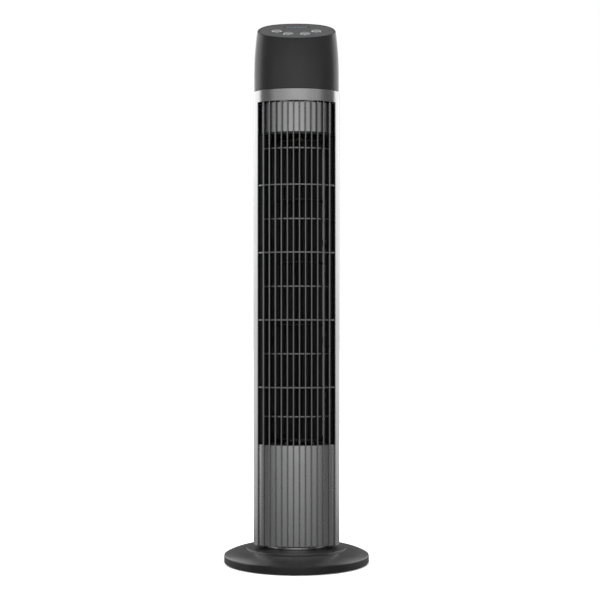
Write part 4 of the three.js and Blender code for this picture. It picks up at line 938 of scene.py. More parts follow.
@dataclass
class Base:
    """The round weighted base with its rubber feet."""

    rim_height: float = 11.4 * MM
    rim_round: float = 1.4 * MM
    dome_rise: float = 10.2 * MM
    dome_width: float = 37.5 * MM
    ring_step: float = 1.9 * MM
    ring_lean: float = 0.2 * MM
    ring_round: float = 0.7 * MM
    plateau_edge: float = 50.4 * MM
    wall: float = 2.6 * MM
    edge: float = 0.4 * MM
    plate_thickness: float = 3 * MM
    foot_round: float = 1.2 * MM
    foot_seat: float = 1.2 * MM
    foot_margin: float = 0.3 * MM
    foot_hollow: float = 0.5 * MM
    screw_seat: float = 2.2 * MM
    screw_margin: float = 0.4 * MM
    foot_count: int = 5
    screw_count: int = 4
    steps: int = 144

    def build(self) -> None:
        """Build the cover, the plate, the feet and their screws."""
        self.cover()
        self.plate()
        for number in range(1, self.foot_count + 1):
            self.foot(f"foot_{number}")
        for number in range(1, self.screw_count + 1):
            Screw().stand_in(f"base_screw_{number}", Body.BASE, Vector((0, 0, -1)))

    def cover(self) -> None:
        """Spin the domed cover with its raised ring."""
        low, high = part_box("base_cover")
        radius, bottom, top = high.x, low.z, high.z
        rim_top = bottom + self.rim_height
        ring = radius - self.dome_width
        dome_steps = 14
        dome = []
        for i in range(dome_steps + 1):
            share = 1 - i / dome_steps
            dome.append((ring + self.dome_width * share, rim_top + self.dome_rise * (1 - share * share)))
        outside = [(radius, bottom), *dome]
        ring_top = dome[-1][1] + self.ring_step
        shoulder = ring - self.ring_lean
        outside += [(shoulder, ring_top), (self.plateau_edge, top), (POST_BORE, top)]
        inner = radius - self.wall
        inside = [(POST_BORE, top - self.wall), (self.plateau_edge, top - self.wall),
                  (ring - self.wall, ring_top - self.wall)]
        inside += [(min(r, inner), z - self.wall) for r, z in reversed(dome[:-1])]
        bm = spun([*outside, *inside, (inner, bottom)], self.steps, closed=True)
        soften(bm, self.rim_round, 4, 25, lambda e: on_circle(e, radius, rim_top))
        soften(bm, self.ring_round, 3, 40, lambda e: on_circle(e, shoulder, ring_top))
        soften(bm, self.edge, 2, 60)
        install(bm, "base_cover_fine", BASE_PLASTIC, Body.BASE.value, Slot.SHELL, ["base_cover"])

    def plate(self) -> None:
        """Fill a disc round the feet's pockets and the screws' seats, then close it above."""
        low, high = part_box("base_plate")
        bm = bmesh.new()
        bmesh.ops.create_circle(bm, segments=self.steps, radius=high.x)
        pockets = [(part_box(f"foot_{n + 1}"), self.foot_seat, self.foot_margin)
                   for n in range(self.foot_count)]
        pockets += [(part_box(f"base_screw_{n + 1}"), self.screw_seat, self.screw_margin)
                    for n in range(self.screw_count)]
        holes = []
        for (box_low, box_high), depth, margin in pockets:
            radius = (box_high.x - box_low.x) / 2 + margin
            place = Matrix.Translation(((box_low.x + box_high.x) / 2, (box_low.y + box_high.y) / 2, 0))
            made = bmesh.ops.create_circle(bm, segments=48, radius=radius, matrix=place)
            verts = made["verts"]
            holes.append(({e for v in verts for e in v.link_edges}, depth))
        outer = [e for e in bm.edges if all(e not in edges for edges, _ in holes)]
        bmesh.ops.triangle_fill(bm, use_beauty=True, edges=bm.edges[:], normal=(0, 0, -1))
        for edges, depth in holes:
            self._capped(bm, list(edges), depth)
        self._capped(bm, outer, self.plate_thickness)
        made_solid(bm)
        bmesh.ops.translate(bm, vec=(0, 0, low.z), verts=bm.verts)
        install(bm, "base_plate_fine", INNER_PLASTIC, Body.BASE.value, Slot.INNER, ["base_plate"])

    @staticmethod
    def _capped(bm: bmesh.types.BMesh, edges: list[bmesh.types.BMEdge], rise: float) -> None:
        """Extrude a loop of edges straight up and cap it."""
        made = bmesh.ops.extrude_edge_only(bm, edges=edges)
        bmesh.ops.translate(bm, vec=(0, 0, rise), verts=verts_of(made))
        bmesh.ops.contextual_create(bm, geom=[e for e in ring_of(made) if e.is_boundary])

    def foot(self, node: str) -> None:
        """Spin one foot, rounded at the floor and slightly hollow in the middle.

        Args:
            node: the frame's foot.
        """
        low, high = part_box(node)
        radius, top = (high.x - low.x) / 2, high.z
        hollow, hollow_edge = radius * 0.55, radius * 0.7
        profile = [(0, self.foot_hollow), (hollow, self.foot_hollow), (hollow_edge, 0), (radius, 0),
                   (radius, top), (0, top)]
        bm = spun(profile, 48)
        soften(bm, self.foot_round, 3, 60, lambda e: on_circle(e, radius, 0))
        centre = (low + high) / 2
        bmesh.ops.translate(bm, vec=(centre.x, centre.y, 0), verts=bm.verts)
        install(bm, f"{node}_fine", RUBBER, Body.BASE.value, Slot.RUBBER, [node])


# ------------------------------------------------------------------ column


@dataclass
class Column:
    """The painted shells, the grille and the rear fittings."""

    plan: Plan
    wall: float = 2.5 * MM
    edge: float = 0.5 * MM
    strip: float = 7.3 * MM
    rib_count: int = 12
    rib_width: float = 2.4 * MM
    rib_round: float = 1.05 * MM
    rib_depth: float = 6 * MM
    rib_proud: float = 1.6 * MM
    rib_set_back: float = 0.8 * MM
    bar_height: float = 2.5 * MM
    bar_set_back: float = 1.6 * MM
    bar_depth: float = 3 * MM
    bar_count: int = 4
    first_bar: float = 94.7 * MM
    bar_pitch: float = 111.2 * MM
    panel_wall: float = 2.2 * MM
    slot_width: float = 5 * MM
    slot_columns: int = 12
    slot_rows: int = 3
    slot_pitch: float = math.radians(7.5)
    slot_margin: float = 10 * MM
    slot_row_gap: float = 9 * MM
    slot_ease: float = 2 * MM
    shell_screw_count: int = 4
    neck_skirt: float = 4.4 * MM
    neck_lift: float = 2.1 * MM
    neck_step: float = 1 * MM
    neck_round: float = 1.2 * MM
    cup_wall: float = 2 * MM
    cup_corner: float = 8 * MM
    cup_set_back: float = 0.7 * MM
    cup_floor_round: float = 3 * MM
    gland_bore: float = 3.6 * MM
    gland_body: float = 8 * MM
    gland_proud: float = 2.8 * MM
    gland_rim: float = 1.2 * MM
    gland_slope: float = 1.6 * MM
    gland_lip: float = 0.8 * MM
    shell_screw_hole: float = 4.2 * MM

    def build(self) -> None:
        """Build every painted piece of the column."""
        self.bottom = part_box("front_frame")[0].z
        self.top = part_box("front_frame")[1].z
        self.opening = self.plan.half_width - self.strip
        self.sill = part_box("lower_panel")[1].z
        self.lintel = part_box("front_grille")[1].z + GAP
        self.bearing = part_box("bearing_plate")[0].z
        self.neck()
        self.front_frame()
        self.grille()
        self.lower_panel()
        self.upper_panel()
        self.rear_shell()
        self.handle_cup()
        self.gland()
        for number in range(1, self.shell_screw_count + 1):
            Screw().stand_in(f"shell_screw_{number}", Body.TOWER, Vector((0, 1, 0)))

    def neck(self) -> None:
        """Spin the turntable, with a rounded upper edge."""
        low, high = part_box("turntable")
        radius, lifted = high.x, high.z - self.neck_lift
        inner = radius - self.neck_skirt
        profile = [(POST_BORE, lifted), (inner - self.neck_step, lifted), (inner, low.z),
                   (radius, low.z), (radius, high.z), (POST_BORE, high.z)]
        bm = spun(profile, 128, closed=True)
        soften(bm, self.neck_round, 4, 60, lambda e: on_circle(e, radius, high.z))
        soften(bm, 0.3 * MM, 2, 60)
        install(bm, "turntable_fine", COLUMN_PAINT, Body.TOWER.value, Slot.COLUMN, ["turntable"])

    def front_frame(self) -> None:
        """Bend the front half of the casing round its tall opening."""
        scale = self.plan.half_width
        edge = math.acos(self.opening / scale)
        start, span = HALF_TURN + edge, HALF_TURN - 2 * edge
        side_steps, front_steps = 20, 120
        side = [HALF_TURN + edge * i / side_steps for i in range(side_steps)]
        middle = [start + span * i / front_steps for i in range(front_steps)]
        other = [FULL_TURN - edge * i / side_steps for i in range(side_steps, -1, -1)]
        sheet = BentSheet(self.plan, side + middle + other, [self.bottom, self.lintel, self.top])
        sheet.remove((start * scale, self.bottom - 1), ((FULL_TURN - edge) * scale, self.lintel))
        bm = sheet.bent(self.wall)
        soften(bm, self.edge, 3, 60)
        install(bm, "front_frame_fine", COLUMN_PAINT, Body.TOWER.value, Slot.COLUMN, ["front_frame"])

    def strip_piece(
        self, reach: Point, inset: float, depth: float, low: float, high: float, edge: float
    ) -> bmesh.types.BMesh:
        """A strip that follows the front skin.

        Args:
            reach: its least and greatest x.
            inset: how far inside the skin its front lies.
            depth: its depth.
            low: its bottom.
            high: its top.
            edge: how far its edges are rounded.

        Returns:
            The closed mesh.
        """
        half = self.plan.half_width - inset
        start, end = (FULL_TURN - math.acos(x / half) for x in reach)
        steps = 90
        angles = [start + (end - start) * i / steps for i in range(steps + 1)]
        bm = BentSheet(self.plan, angles, [low, high], inset).bent(depth)
        return soften(bm, edge, 3, 60)

    def grille(self) -> None:
        """Build the round-fronted ribs and the bars that tie them."""
        bottom, top = self.bottom + GAP, self.lintel - GAP
        pitch = 2 * self.opening / (self.rib_count + 1)
        panel_inset = self.rib_set_back + self.rib_proud + GAP
        bm = bmesh.new()
        for i in range(self.rib_count):
            x = (i - (self.rib_count - 1) / 2) * pitch
            add_to(bm, self._rib(x, bottom, top, panel_inset))
        reach = self.opening - GAP
        for i in range(self.bar_count):
            z = self.sill + self.first_bar + i * self.bar_pitch
            half = self.bar_height / 2
            add_to(bm, self.strip_piece(
                (-reach, reach), self.bar_set_back, self.bar_depth, z - half, z + half, 0.6 * MM))
        install(bm, "front_grille_fine", RIB_PAINT, Body.TOWER.value, Slot.COLUMN, ["front_grille"])

    def _rib(self, x: float, bottom: float, top: float, panel_inset: float) -> bmesh.types.BMesh:
        """One upright rib, thin where it runs over the lower panel."""
        side = abs(x) - self.rib_width / 2
        front = self.plan.front_y(x) + self.rib_set_back
        thin = self.plan.front_y(side, panel_inset) - GAP
        room = self.rib_set_back + self.rib_depth + GAP
        back = min(front + self.rib_depth, self.plan.front_y(side, room) - GAP)
        shoulder = self.sill + GAP
        outline = [(front, bottom), (thin, bottom), (thin, shoulder), (back, shoulder), (back, top),
                   (front, top)]
        left = x - self.rib_width / 2
        bm = plate_from([(left, y, z) for y, z in outline], (self.rib_width, 0, 0))

        def upright_in_front(edge: bmesh.types.BMEdge) -> bool:
            """Whether an edge is one of the two long ones at the rib's front."""
            first, second = (v.co for v in edge.verts)
            in_front = all(abs(co.y - front) < WELD for co in (first, second))
            return in_front and abs(first.z - second.z) > self.rib_width

        soften(bm, self.rib_round, 4, 60, upright_in_front)
        return soften(bm, 0.3 * MM, 2, 60)

    def lower_panel(self) -> None:
        """Bend the panel under the grille, with a rounded upper edge."""
        inset = self.rib_set_back + self.rib_proud + GAP
        reach = self.opening - GAP
        bm = self.strip_piece(
            (-reach, reach), inset, self.panel_wall, self.bottom + GAP, self.sill, 0.8 * MM)
        install(bm, "lower_panel_fine", COLUMN_PAINT, Body.TOWER.value, Slot.COLUMN, ["lower_panel"])

    def upper_panel(self) -> None:
        """Bend the panel behind the top of the grille."""
        low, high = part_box("upper_panel")
        inset = self.rib_set_back + self.rib_depth + GAP
        bm = self.strip_piece((low.x, high.x), inset, self.panel_wall, low.z, high.z, 0.6 * MM)
        install(bm, "upper_panel_fine", COLUMN_PAINT, Body.TOWER.value, Slot.COLUMN, ["upper_panel"])

    def rear_shell(self) -> None:
        """Bend the rear half, with round-ended intake slots and openings for the rear fittings."""
        scale = self.plan.half_width
        half_slot = self.slot_width / 2
        bends = [half_slot * math.sin(math.radians(a)) for a in (0, 25, 50, 72, 90)]
        offsets = [-b for b in reversed(bends[1:])] + bends
        pitch = self.slot_pitch * scale
        halfway = (self.slot_columns - 1) / 2
        centres = [QUARTER_TURN * scale + (i - halfway) * pitch for i in range(self.slot_columns)]
        lines = [c + o for c in centres for o in offsets] + [c - pitch / 2 for c in centres[1:]]
        first, last = min(lines), max(lines)
        margin_steps = 24
        lines += [first * i / margin_steps for i in range(margin_steps)]
        end = HALF_TURN * scale
        lines += [end - (end - last) * i / margin_steps for i in range(margin_steps)]
        rows = self._slot_rows()
        heights = [self.bottom, self.top]
        ease = self.slot_ease
        for low, high in rows:
            heights += [low - ease, low + half_slot, high - half_slot, high + ease]
        foot_pitch, foot_lines, head_pitch, head_lines = 3 * MM, 16, 2.5 * MM, 26
        heights += [self.bottom + foot_pitch * i for i in range(1, foot_lines + 1)]
        heights += [self.top - head_pitch * i for i in range(1, head_lines + 1)]
        sheet = BentSheet(self.plan, [s / scale for s in sorted(lines)], sorted(heights))
        for centre in centres:
            for low, high in rows:
                sheet.remove(
                    (centre - half_slot, low + half_slot), (centre + half_slot, high - half_slot))
                self._round_ends(sheet.bm, centre, low, high)
        self._rear_openings(sheet)
        bm = sheet.bent(self.wall)
        soften(bm, 0.45 * MM, 2, 50)
        install(bm, "rear_shell_fine", COLUMN_PAINT, Body.TOWER.value, Slot.COLUMN, ["rear_shell"])

    def _slot_rows(self) -> list[Point]:
        """The bottoms and tops of the rows of intake slots."""
        low, high = self.sill + self.slot_margin, self.bearing - self.slot_margin
        gap = self.slot_row_gap
        pitch = (high - low + gap) / self.slot_rows
        return [(low + i * pitch, low + (i + 1) * pitch - gap) for i in range(self.slot_rows)]

    def _round_ends(self, bm: bmesh.types.BMesh, centre: float, low: float, high: float) -> None:
        """Move the points at a slot's ends onto half circles."""
        radius = self.slot_width / 2
        for vert in bm.verts:
            across = abs(vert.co.x - centre)
            if across > radius - WELD:
                continue
            bulge = math.sqrt(radius * radius - across * across)
            if abs(vert.co.y - (low + radius)) < WELD:
                vert.co.y -= bulge
            elif abs(vert.co.y - (high - radius)) < WELD:
                vert.co.y += bulge

    def _rear_openings(self, sheet: BentSheet) -> None:
        """Pierce the shell for the handle, the cord and the screws."""
        scale = self.plan.half_width
        middle = QUARTER_TURN * scale
        spacing, margin = 1.5 * MM, 1.2 * MM
        low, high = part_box("handle_cup")
        mouth = rounded_box(
            high.x + GAP, (high.z - low.z) / 2 + GAP, self.cup_corner + GAP, spacing)
        handle = [(math.asin(x / scale) * scale, z) for x, z in mouth]
        sheet.pierce((middle, (low.z + high.z) / 2), handle, margin)
        low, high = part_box("cord_gland")
        self._round_hole(sheet, middle, (low.z + high.z) / 2, self.gland_body + GAP)
        for number in range(1, self.shell_screw_count + 1):
            low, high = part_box(f"shell_screw_{number}")
            x, z = (low.x + high.x) / 2, (low.z + high.z) / 2
            self._round_hole(sheet, math.acos(x / scale) * scale, z, self.shell_screw_hole)

    @staticmethod
    def _round_hole(sheet: BentSheet, across: float, height: float, radius: float) -> None:
        """Pierce a round hole in a sheet."""
        count, margin = 32, 1 * MM
        turn = [FULL_TURN * i / count for i in range(count)]
        outline = [(radius * math.cos(a), radius * math.sin(a)) for a in turn]
        sheet.pierce((across, height), outline, margin)

    def handle_cup(self) -> None:
        """Build the finger cup: a rounded tray whose mouth follows the rear skin."""
        low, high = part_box("handle_cup")
        wall, steps, spacing = self.cup_wall, 8, 3 * MM
        outline = rounded_box(
            high.x - wall, (high.z - low.z) / 2 - wall, self.cup_corner - wall, spacing)
        middle, back = (low.z + high.z) / 2, low.y + wall
        bm = bmesh.new()
        rim = loop_of(bm, [(x, back, middle + z) for x, z in outline])
        bmesh.ops.contextual_create(bm, geom=rim)
        floor = bm.faces[:]
        for step in range(1, steps + 1):
            made = bmesh.ops.extrude_edge_only(bm, edges=rim)
            for vert in verts_of(made):
                mouth = self.plan.rear_y(vert.co.x, self.cup_set_back)
                vert.co.y = back + (mouth - back) * step / steps
            rim = ring_of(made)
        bmesh.ops.recalc_face_normals(bm, faces=bm.faces)
        if floor[0].normal.y < 0:
            bmesh.ops.reverse_faces(bm, faces=bm.faces)
        bm.normal_update()
        bmesh.ops.solidify(bm, geom=bm.faces[:], thickness=wall)
        bmesh.ops.recalc_face_normals(bm, faces=bm.faces)
        soften(
            bm, self.cup_floor_round, 4, 60, lambda e: all(abs(v.co.y - back) < WELD for v in e.verts))
        soften(bm, 0.4 * MM, 2, 60)
        install(bm, "handle_cup_fine", INNER_PLASTIC, Body.TOWER.value, Slot.INNER, ["handle_cup"])

    def gland(self) -> None:
        """Spin the cord inlet bush and turn it to face the rear."""
        low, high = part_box("cord_gland")
        collar, length = (high.x - low.x) / 2, high.y - low.y
        bore, body, lip, seat = self.gland_bore, self.gland_body, self.gland_lip, GAP - self.gland_proud
        profile = [(bore, -length), (body, -length), (body, seat), (collar, seat),
                   (collar, -self.gland_rim), (collar - self.gland_slope, 0), (bore + lip, 0),
                   (bore, -lip)]
        bm = spun(profile, 64, closed=True)
        soften(bm, 0.35 * MM, 2, 35)
        turn = Matrix.Rotation(-QUARTER_TURN, 4, "X")
        place = Matrix.Translation(((low.x + high.x) / 2, high.y, (low.z + high.z) / 2))
        bmesh.ops.transform(bm, matrix=place @ turn, verts=bm.verts)
        install(bm, "cord_gland_fine", RUBBER, Body.TOWER.value, Slot.RUBBER, ["cord_gland"])


# ------------------------------------------------------------------ fan inside


@dataclass
class CrossFlowFan:
    """The blade wheel, the guide bars in front of it and the two walls of its duct."""

    column: Column
    cells: tuple[float, ...] = (0.835, 1.0, 1.0, 1.0, 0.94)
    disc_thickness: float = 1.8 * MM
    blade_count: int = 34
    blade_chord: float = 10 * MM
    blade_thickness: float = 0.9 * MM
    blade_margin: float = 1.2 * MM
    blade_bow: float = math.radians(70)
    blade_slant: float = math.radians(32)
    bar_set_back: float = 8.2 * MM
    bar_depth: float = 2.6 * MM
    bar_round: float = 0.5 * MM
    wall_round: float = 0.4 * MM
    end_rise: float = 46.8 * MM
    end_drop: float = 43.5 * MM
    scroll_lip: float = 10.4 * MM
    tongue_lip: float = 5.4 * MM
    hub_radius: float = 8.5 * MM
    hub_length: float = 12 * MM
    bore: float = 4.3 * MM

    def build(self) -> None:
        """Build the wheel, the guide bars and the two duct walls."""
        self.wheel()
        self.guide_bars()
        self.duct_wall("scroll_wall")
        self.duct_wall("tongue_wall")

    def bar_heights(self) -> list[Point]:
        """The bottoms and tops of the guide bars, read off the frame's scroll wall."""
        low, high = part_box("scroll_wall")
        sill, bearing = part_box("lower_panel")[1].z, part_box("bearing_plate")[1].z
        column = self.column
        between = [sill + column.first_bar + (i + 0.5) * column.bar_pitch
                   for i in range(column.bar_count - 1)]
        middles = [sill + self.end_rise, *between, bearing - self.end_drop]
        half = column.bar_height / 2
        return [(z - half, z + half) for z in middles if low.z < z < high.z]

    def guide_bars(self) -> None:
        """Bend the level bars that span the duct's mouth."""
        opening = self.column.plan.half_width - self.column.strip
        reach = (-(opening - self.scroll_lip), opening - self.tongue_lip)
        bm = bmesh.new()
        for bottom, top in self.bar_heights():
            add_to(bm, self.column.strip_piece(
                reach, self.bar_set_back, self.bar_depth, bottom, top, self.bar_round))
        install(bm, "guide_bars", RIB_PAINT, Body.TOWER.value, Slot.COLUMN, ["scroll_wall"])

    def duct_wall(self, node: str) -> None:
        """Sweep a duct wall's section, taken off the frame's own wall at one height.

        Args:
            node: the frame's wall.
        """
        low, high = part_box(node)
        bars = self.bar_heights()
        level = (bars[0][1] + bars[1][0]) / 2
        bm = bmesh.new()
        bm.from_mesh(frame["nodes"][node].data)
        bmesh.ops.remove_doubles(bm, verts=bm.verts, dist=10 * WELD)
        cut = bmesh.ops.bisect_plane(
            bm, geom=bm.verts[:] + bm.edges[:] + bm.faces[:], plane_co=(0, 0, level),
            plane_no=(0, 0, 1), clear_inner=True, clear_outer=True)["geom_cut"]
        bmesh.ops.edgeloop_fill(bm, edges=[g for g in cut if isinstance(g, bmesh.types.BMEdge)])
        straight = math.radians(0.5)
        bmesh.ops.dissolve_limit(bm, angle_limit=straight, verts=bm.verts[:], edges=bm.edges[:])
        bmesh.ops.translate(bm, vec=(0, 0, low.z - level), verts=bm.verts)
        pushed_out(bm, bm.faces[:], (0, 0, high.z - low.z))
        made_solid(bm)
        soften(bm, self.wall_round, 3, 50)
        install(bm, f"{node}_fine", INNER_PLASTIC, Body.TOWER.value, Slot.INNER, [node])

    def wheel(self) -> None:
        """Spin the discs and hubs, and copy one bowed blade round them."""
        low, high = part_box("impeller_wheel")
        radius = (high.x - low.x) / 2
        cell = (high.z - low.z - self.disc_thickness) / sum(self.cells)
        bm = self._blades(radius, high.z - low.z)
        rise = 0.0
        last = len(self.cells)
        for i, share in enumerate((*self.cells, 0.0)):
            inner = self.bore if i in (0, last) else 0.0
            points = [(inner, 0), (radius, 0), (radius, self.disc_thickness),
                      (inner, self.disc_thickness)]
            disc = spun(points, 72, closed=bool(inner))
            soften(disc, 0.35 * MM, 2, 60)
            bmesh.ops.translate(disc, vec=(0, 0, rise), verts=disc.verts)
            add_to(bm, disc)
            rise += cell * share
        for bottom in (0, high.z - low.z - self.hub_length):
            hub = spun([(self.bore, 0), (self.hub_radius, 0), (self.hub_radius, self.hub_length),
                        (self.bore, self.hub_length)], 48, closed=True)
            soften(hub, 0.5 * MM, 2, 60)
            bmesh.ops.translate(hub, vec=(0, 0, bottom), verts=hub.verts)
            add_to(bm, hub)
        centre = (low + high) / 2
        bmesh.ops.translate(bm, vec=(centre.x, centre.y, low.z), verts=bm.verts)
        install(
            bm, "impeller_wheel_fine", WHEEL_PLASTIC, Body.IMPELLER.value, Slot.INNER,
            ["impeller_wheel"])

    def _blades(self, radius: float, height: float) -> bmesh.types.BMesh:
        """Sweep one blade from an arc, thicken it and copy it round the axis."""
        bm = bmesh.new()
        bow_radius = self.blade_chord / 2 / math.sin(self.blade_bow / 2)
        middle = radius - self.blade_chord / 2 - self.blade_margin
        start = bm.verts.new((middle - self.blade_chord / 2, 0, self.disc_thickness / 2))
        centre = (middle, -bow_radius * math.cos(self.blade_bow / 2), 0)
        bmesh.ops.spin(
            bm, geom=[start], cent=centre, axis=(0, 0, 1), dvec=(0, 0, 0), angle=-self.blade_bow,
            steps=8, use_merge=False, use_duplicate=False)
        made = bmesh.ops.extrude_edge_only(bm, edges=bm.edges[:])
        bmesh.ops.translate(bm, vec=(0, 0, height - self.disc_thickness), verts=verts_of(made))
        bmesh.ops.solidify(bm, geom=bm.faces[:], thickness=self.blade_thickness)
        made_solid(bm)
        soften(bm, 0.3 * MM, 2, 60)
        bmesh.ops.rotate(
            bm, cent=(middle, 0, 0), matrix=Matrix.Rotation(self.blade_slant, 3, "Z"), verts=bm.verts)
        bmesh.ops.spin(
            bm, geom=bm.verts[:] + bm.edges[:] + bm.faces[:], cent=(0, 0, 0), axis=(0, 0, 1),
            dvec=(0, 0, 0), angle=FULL_TURN * (1 - 1 / self.blade_count), steps=self.blade_count - 1,
            use_merge=False, use_duplicate=True)
        return bm


# ------------------------------------------------------------------ head


@dataclass
class Head:
    """The slanted control head."""

    plan: Plan
    straight: float = 27 * MM
    taper: float = 5.4 * MM
    taper_height: float = 77 * MM
    back_start: float = 55 * MM
    ridge_reach: float = 38.7 * MM
    wall: float = 2.2 * MM
    face_recess: float = 0.4 * MM
    face_thickness: float = 2.5 * MM
    face_middle_y: float = -14.25 * MM
    rim_round: float = 0.7 * MM
    segments: int = 160
    rings: int = 26
    search_steps: int = 40
    search_room: float = 20 * MM
    chamfer: float = 0.3 * MM
    button_hole: float = 8.7 * MM
    button_radius: float = 8.3 * MM
    button_proud: float = 0.4 * MM
    button_dish: float = 0.55 * MM
    button_lip: float = 1.1 * MM
    button_round: float = 0.55 * MM
    flange_reach: float = 1.3 * MM
    flange_height: float = 1 * MM
    stem_radius: float = 2.2 * MM
    stem_length: float = 2.3 * MM
    lens_half_height: float = 2.5 * MM
    lens_corner: float = 0.9 * MM
    lens_spacing: float = 4 * MM
    window_corner: float = 1.1 * MM
    mark_thickness: float = 0.05 * MM
    mark_corner: float = 0.3 * MM
    mark_spacing: float = 5 * MM
    mark_space: float = 0.9 * MM
    mark_distance: float = 11.4 * MM
    tick_height: float = 1 * MM
    dot_size: float = 0.9 * MM
    lit_height: float = 1.5 * MM
    buttons: dict[str, str] = field(default_factory=lambda: {
        "button_power": "power_button", "button_speed": "speed_button",
        "button_swing": "swing_button", "button_timer": "timer_button"})

    def build(self) -> None:
        """Read the head's place off the frame and build its pieces."""
        low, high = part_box("head_shell")
        self.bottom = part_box("rear_shell")[1].z + GAP
        self.height = high.z - self.bottom
        self.side = high.x
        self.front = self.plan.widest_y - low.y
        self.back = high.y - self.plan.widest_y
        press = next(j for j in frame["joints"] if j["name"] == "power_press")
        self.normal = -Vector(press["axis"]).normalized()
        top = max(self.normal.dot(v.co) for v in frame["nodes"]["head_shell"].data.vertices)
        z = (top - self.normal.y * self.face_middle_y) / self.normal.z
        self.origin = Vector((0, self.face_middle_y, z))
        self.tilt = math.atan2(-self.normal.y, self.normal.z)
        self.matrix = Matrix.Translation(self.origin) @ Matrix.Rotation(self.tilt, 4, "X")
        self.shell()
        self.face()
        self.lens()
        for node, body in self.buttons.items():
            self.button(node, body)
        self.marks()

    def point(self, angle: float, rise: float, inset: float) -> Vector:
        """A point of the head's side.

        Args:
            angle: anticlockwise from +X, in radians.
            rise: the height above the head's bottom.
            inset: how far inside the surface.

        Returns:
            The point.
        """
        come_in = self.taper * (max(0.0, rise - self.straight) / self.taper_height) ** 2
        share = max(0.0, rise - self.back_start) / (self.height + GAP - self.back_start)
        round_over = (self.back - self.ridge_reach) * share * share
        side = self.side - inset - come_in
        if math.sin(angle) > 0:
            reach = self.back - inset - max(come_in, round_over)
        else:
            reach = self.front - inset - come_in
        y = self.plan.widest_y + reach * math.sin(angle)
        return Vector((side * math.cos(angle), y, self.bottom + rise))

    def face_rise(self, angle: float, inset: float, below: float) -> float:
        """The height at which the side meets a plane parallel to the control face.

        Args:
            angle: anticlockwise from +X, in radians.
            inset: how far inside the surface.
            below: how far the plane lies under the rim's.

        Returns:
            The height above the head's bottom.
        """
        low, high = 0.0, self.height + self.search_room
        for _ in range(self.search_steps):
            middle = (low + high) / 2
            over = (self.point(angle, middle, inset) - self.origin).dot(self.normal) + below
            low, high = (low, middle) if over > 0 else (middle, high)
        return low

    def shell(self) -> None:
        """Lay one grid up the outside, over the rim and down the inside, and weld its seams."""
        angles = [FULL_TURN * i / self.segments for i in range(self.segments + 1)]
        rows = [(0.0, ring) for ring in range(self.rings + 1)]
        rows += [(self.wall, ring) for ring in range(self.rings, -1, -1)] + [(0.0, 0)]
        tops = {inset: [self.face_rise(a, inset, 0) for a in angles] for inset in (0.0, self.wall)}

        def place(column: int, row: int) -> Vector:
            """The grid's point in a column and a row."""
            inset, ring = rows[row]
            return self.point(angles[column], tops[inset][column] * ring / self.rings, inset)

        bm = made_solid(grid_of(self.segments, len(rows) - 1, place))
        soften(bm, self.rim_round, 3, 35)
        install(bm, "head_shell_fine", SHELL_PLASTIC, Body.TOWER.value, Slot.SHELL, ["head_shell"])

    def face(self) -> None:
        """Fill the control face round its button holes and its window."""
        inset = self.wall + GAP
        angles = [FULL_TURN * i / self.segments for i in range(self.segments)]
        into = self.matrix.inverted()
        bm = bmesh.new()
        rim = [into @ self.point(a, self.face_rise(a, inset, self.face_recess), inset) for a in angles]
        loop_of(bm, [(p.x, p.y, 0) for p in rim])
        for node in self.buttons:
            place = self.place_of(node)
            centre = Matrix.Translation((place.x, place.y, 0))
            bmesh.ops.create_circle(bm, segments=64, radius=self.button_hole, matrix=centre)
        lens = self.place_of("display_lens")
        window = rounded_box(
            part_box("display_lens")[1].x + GAP, self.lens_half_height + GAP, self.window_corner,
            self.lens_spacing)
        loop_of(bm, [(x, lens.y + y, 0) for x, y in window])
        bmesh.ops.triangle_fill(bm, use_beauty=True, edges=bm.edges[:], normal=(0, 0, 1))
        bm.normal_update()
        if bm.faces[:][0].normal.z < 0:
            bmesh.ops.reverse_faces(bm, faces=bm.faces)
        chamfer = self.chamfer
        rim = {v for e in bm.edges if e.is_boundary for v in e.verts}
        bmesh.ops.inset_region(
            bm, faces=bm.faces[:], thickness=chamfer, depth=0, use_boundary=True, use_even_offset=True)
        edge = [v for v in rim if v.is_valid and any(e.is_boundary for e in v.link_edges)]
        bmesh.ops.translate(bm, vec=(0, 0, -chamfer), verts=edge)
        pushed_out(bm, bm.faces[:], (0, 0, -(self.face_thickness - chamfer)))
        made_solid(bm)
        place = self.matrix @ Matrix.Translation((0, 0, -self.face_recess))
        bmesh.ops.transform(bm, matrix=place, verts=bm.verts)
        install(bm, "top_face_fine", FACE_PLASTIC, Body.TOWER.value, Slot.FACE, ["top_face"])

    def place_of(self, node: str) -> Vector:
        """The middle of a node in the control face's own frame."""
        low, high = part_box(node)
        return self.matrix.inverted() @ ((low + high) / 2)

    def lens(self) -> None:
        """Cut the smoked window from a rounded slab."""
        place = self.place_of("display_lens")
        outline = rounded_box(
            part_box("display_lens")[1].x, self.lens_half_height, self.lens_corner, self.lens_spacing)
        top = [(x, place.y + y, -self.face_recess) for x, y in outline]
        bm = plate_from(top, (0, 0, -self.face_thickness))
        soften(bm, 0.15 * MM, 2, 60)
        bmesh.ops.transform(bm, matrix=self.matrix, verts=bm.verts)
        install(bm, "display_lens_fine", LENS, Body.TOWER.value, Slot.LENS, ["display_lens"])

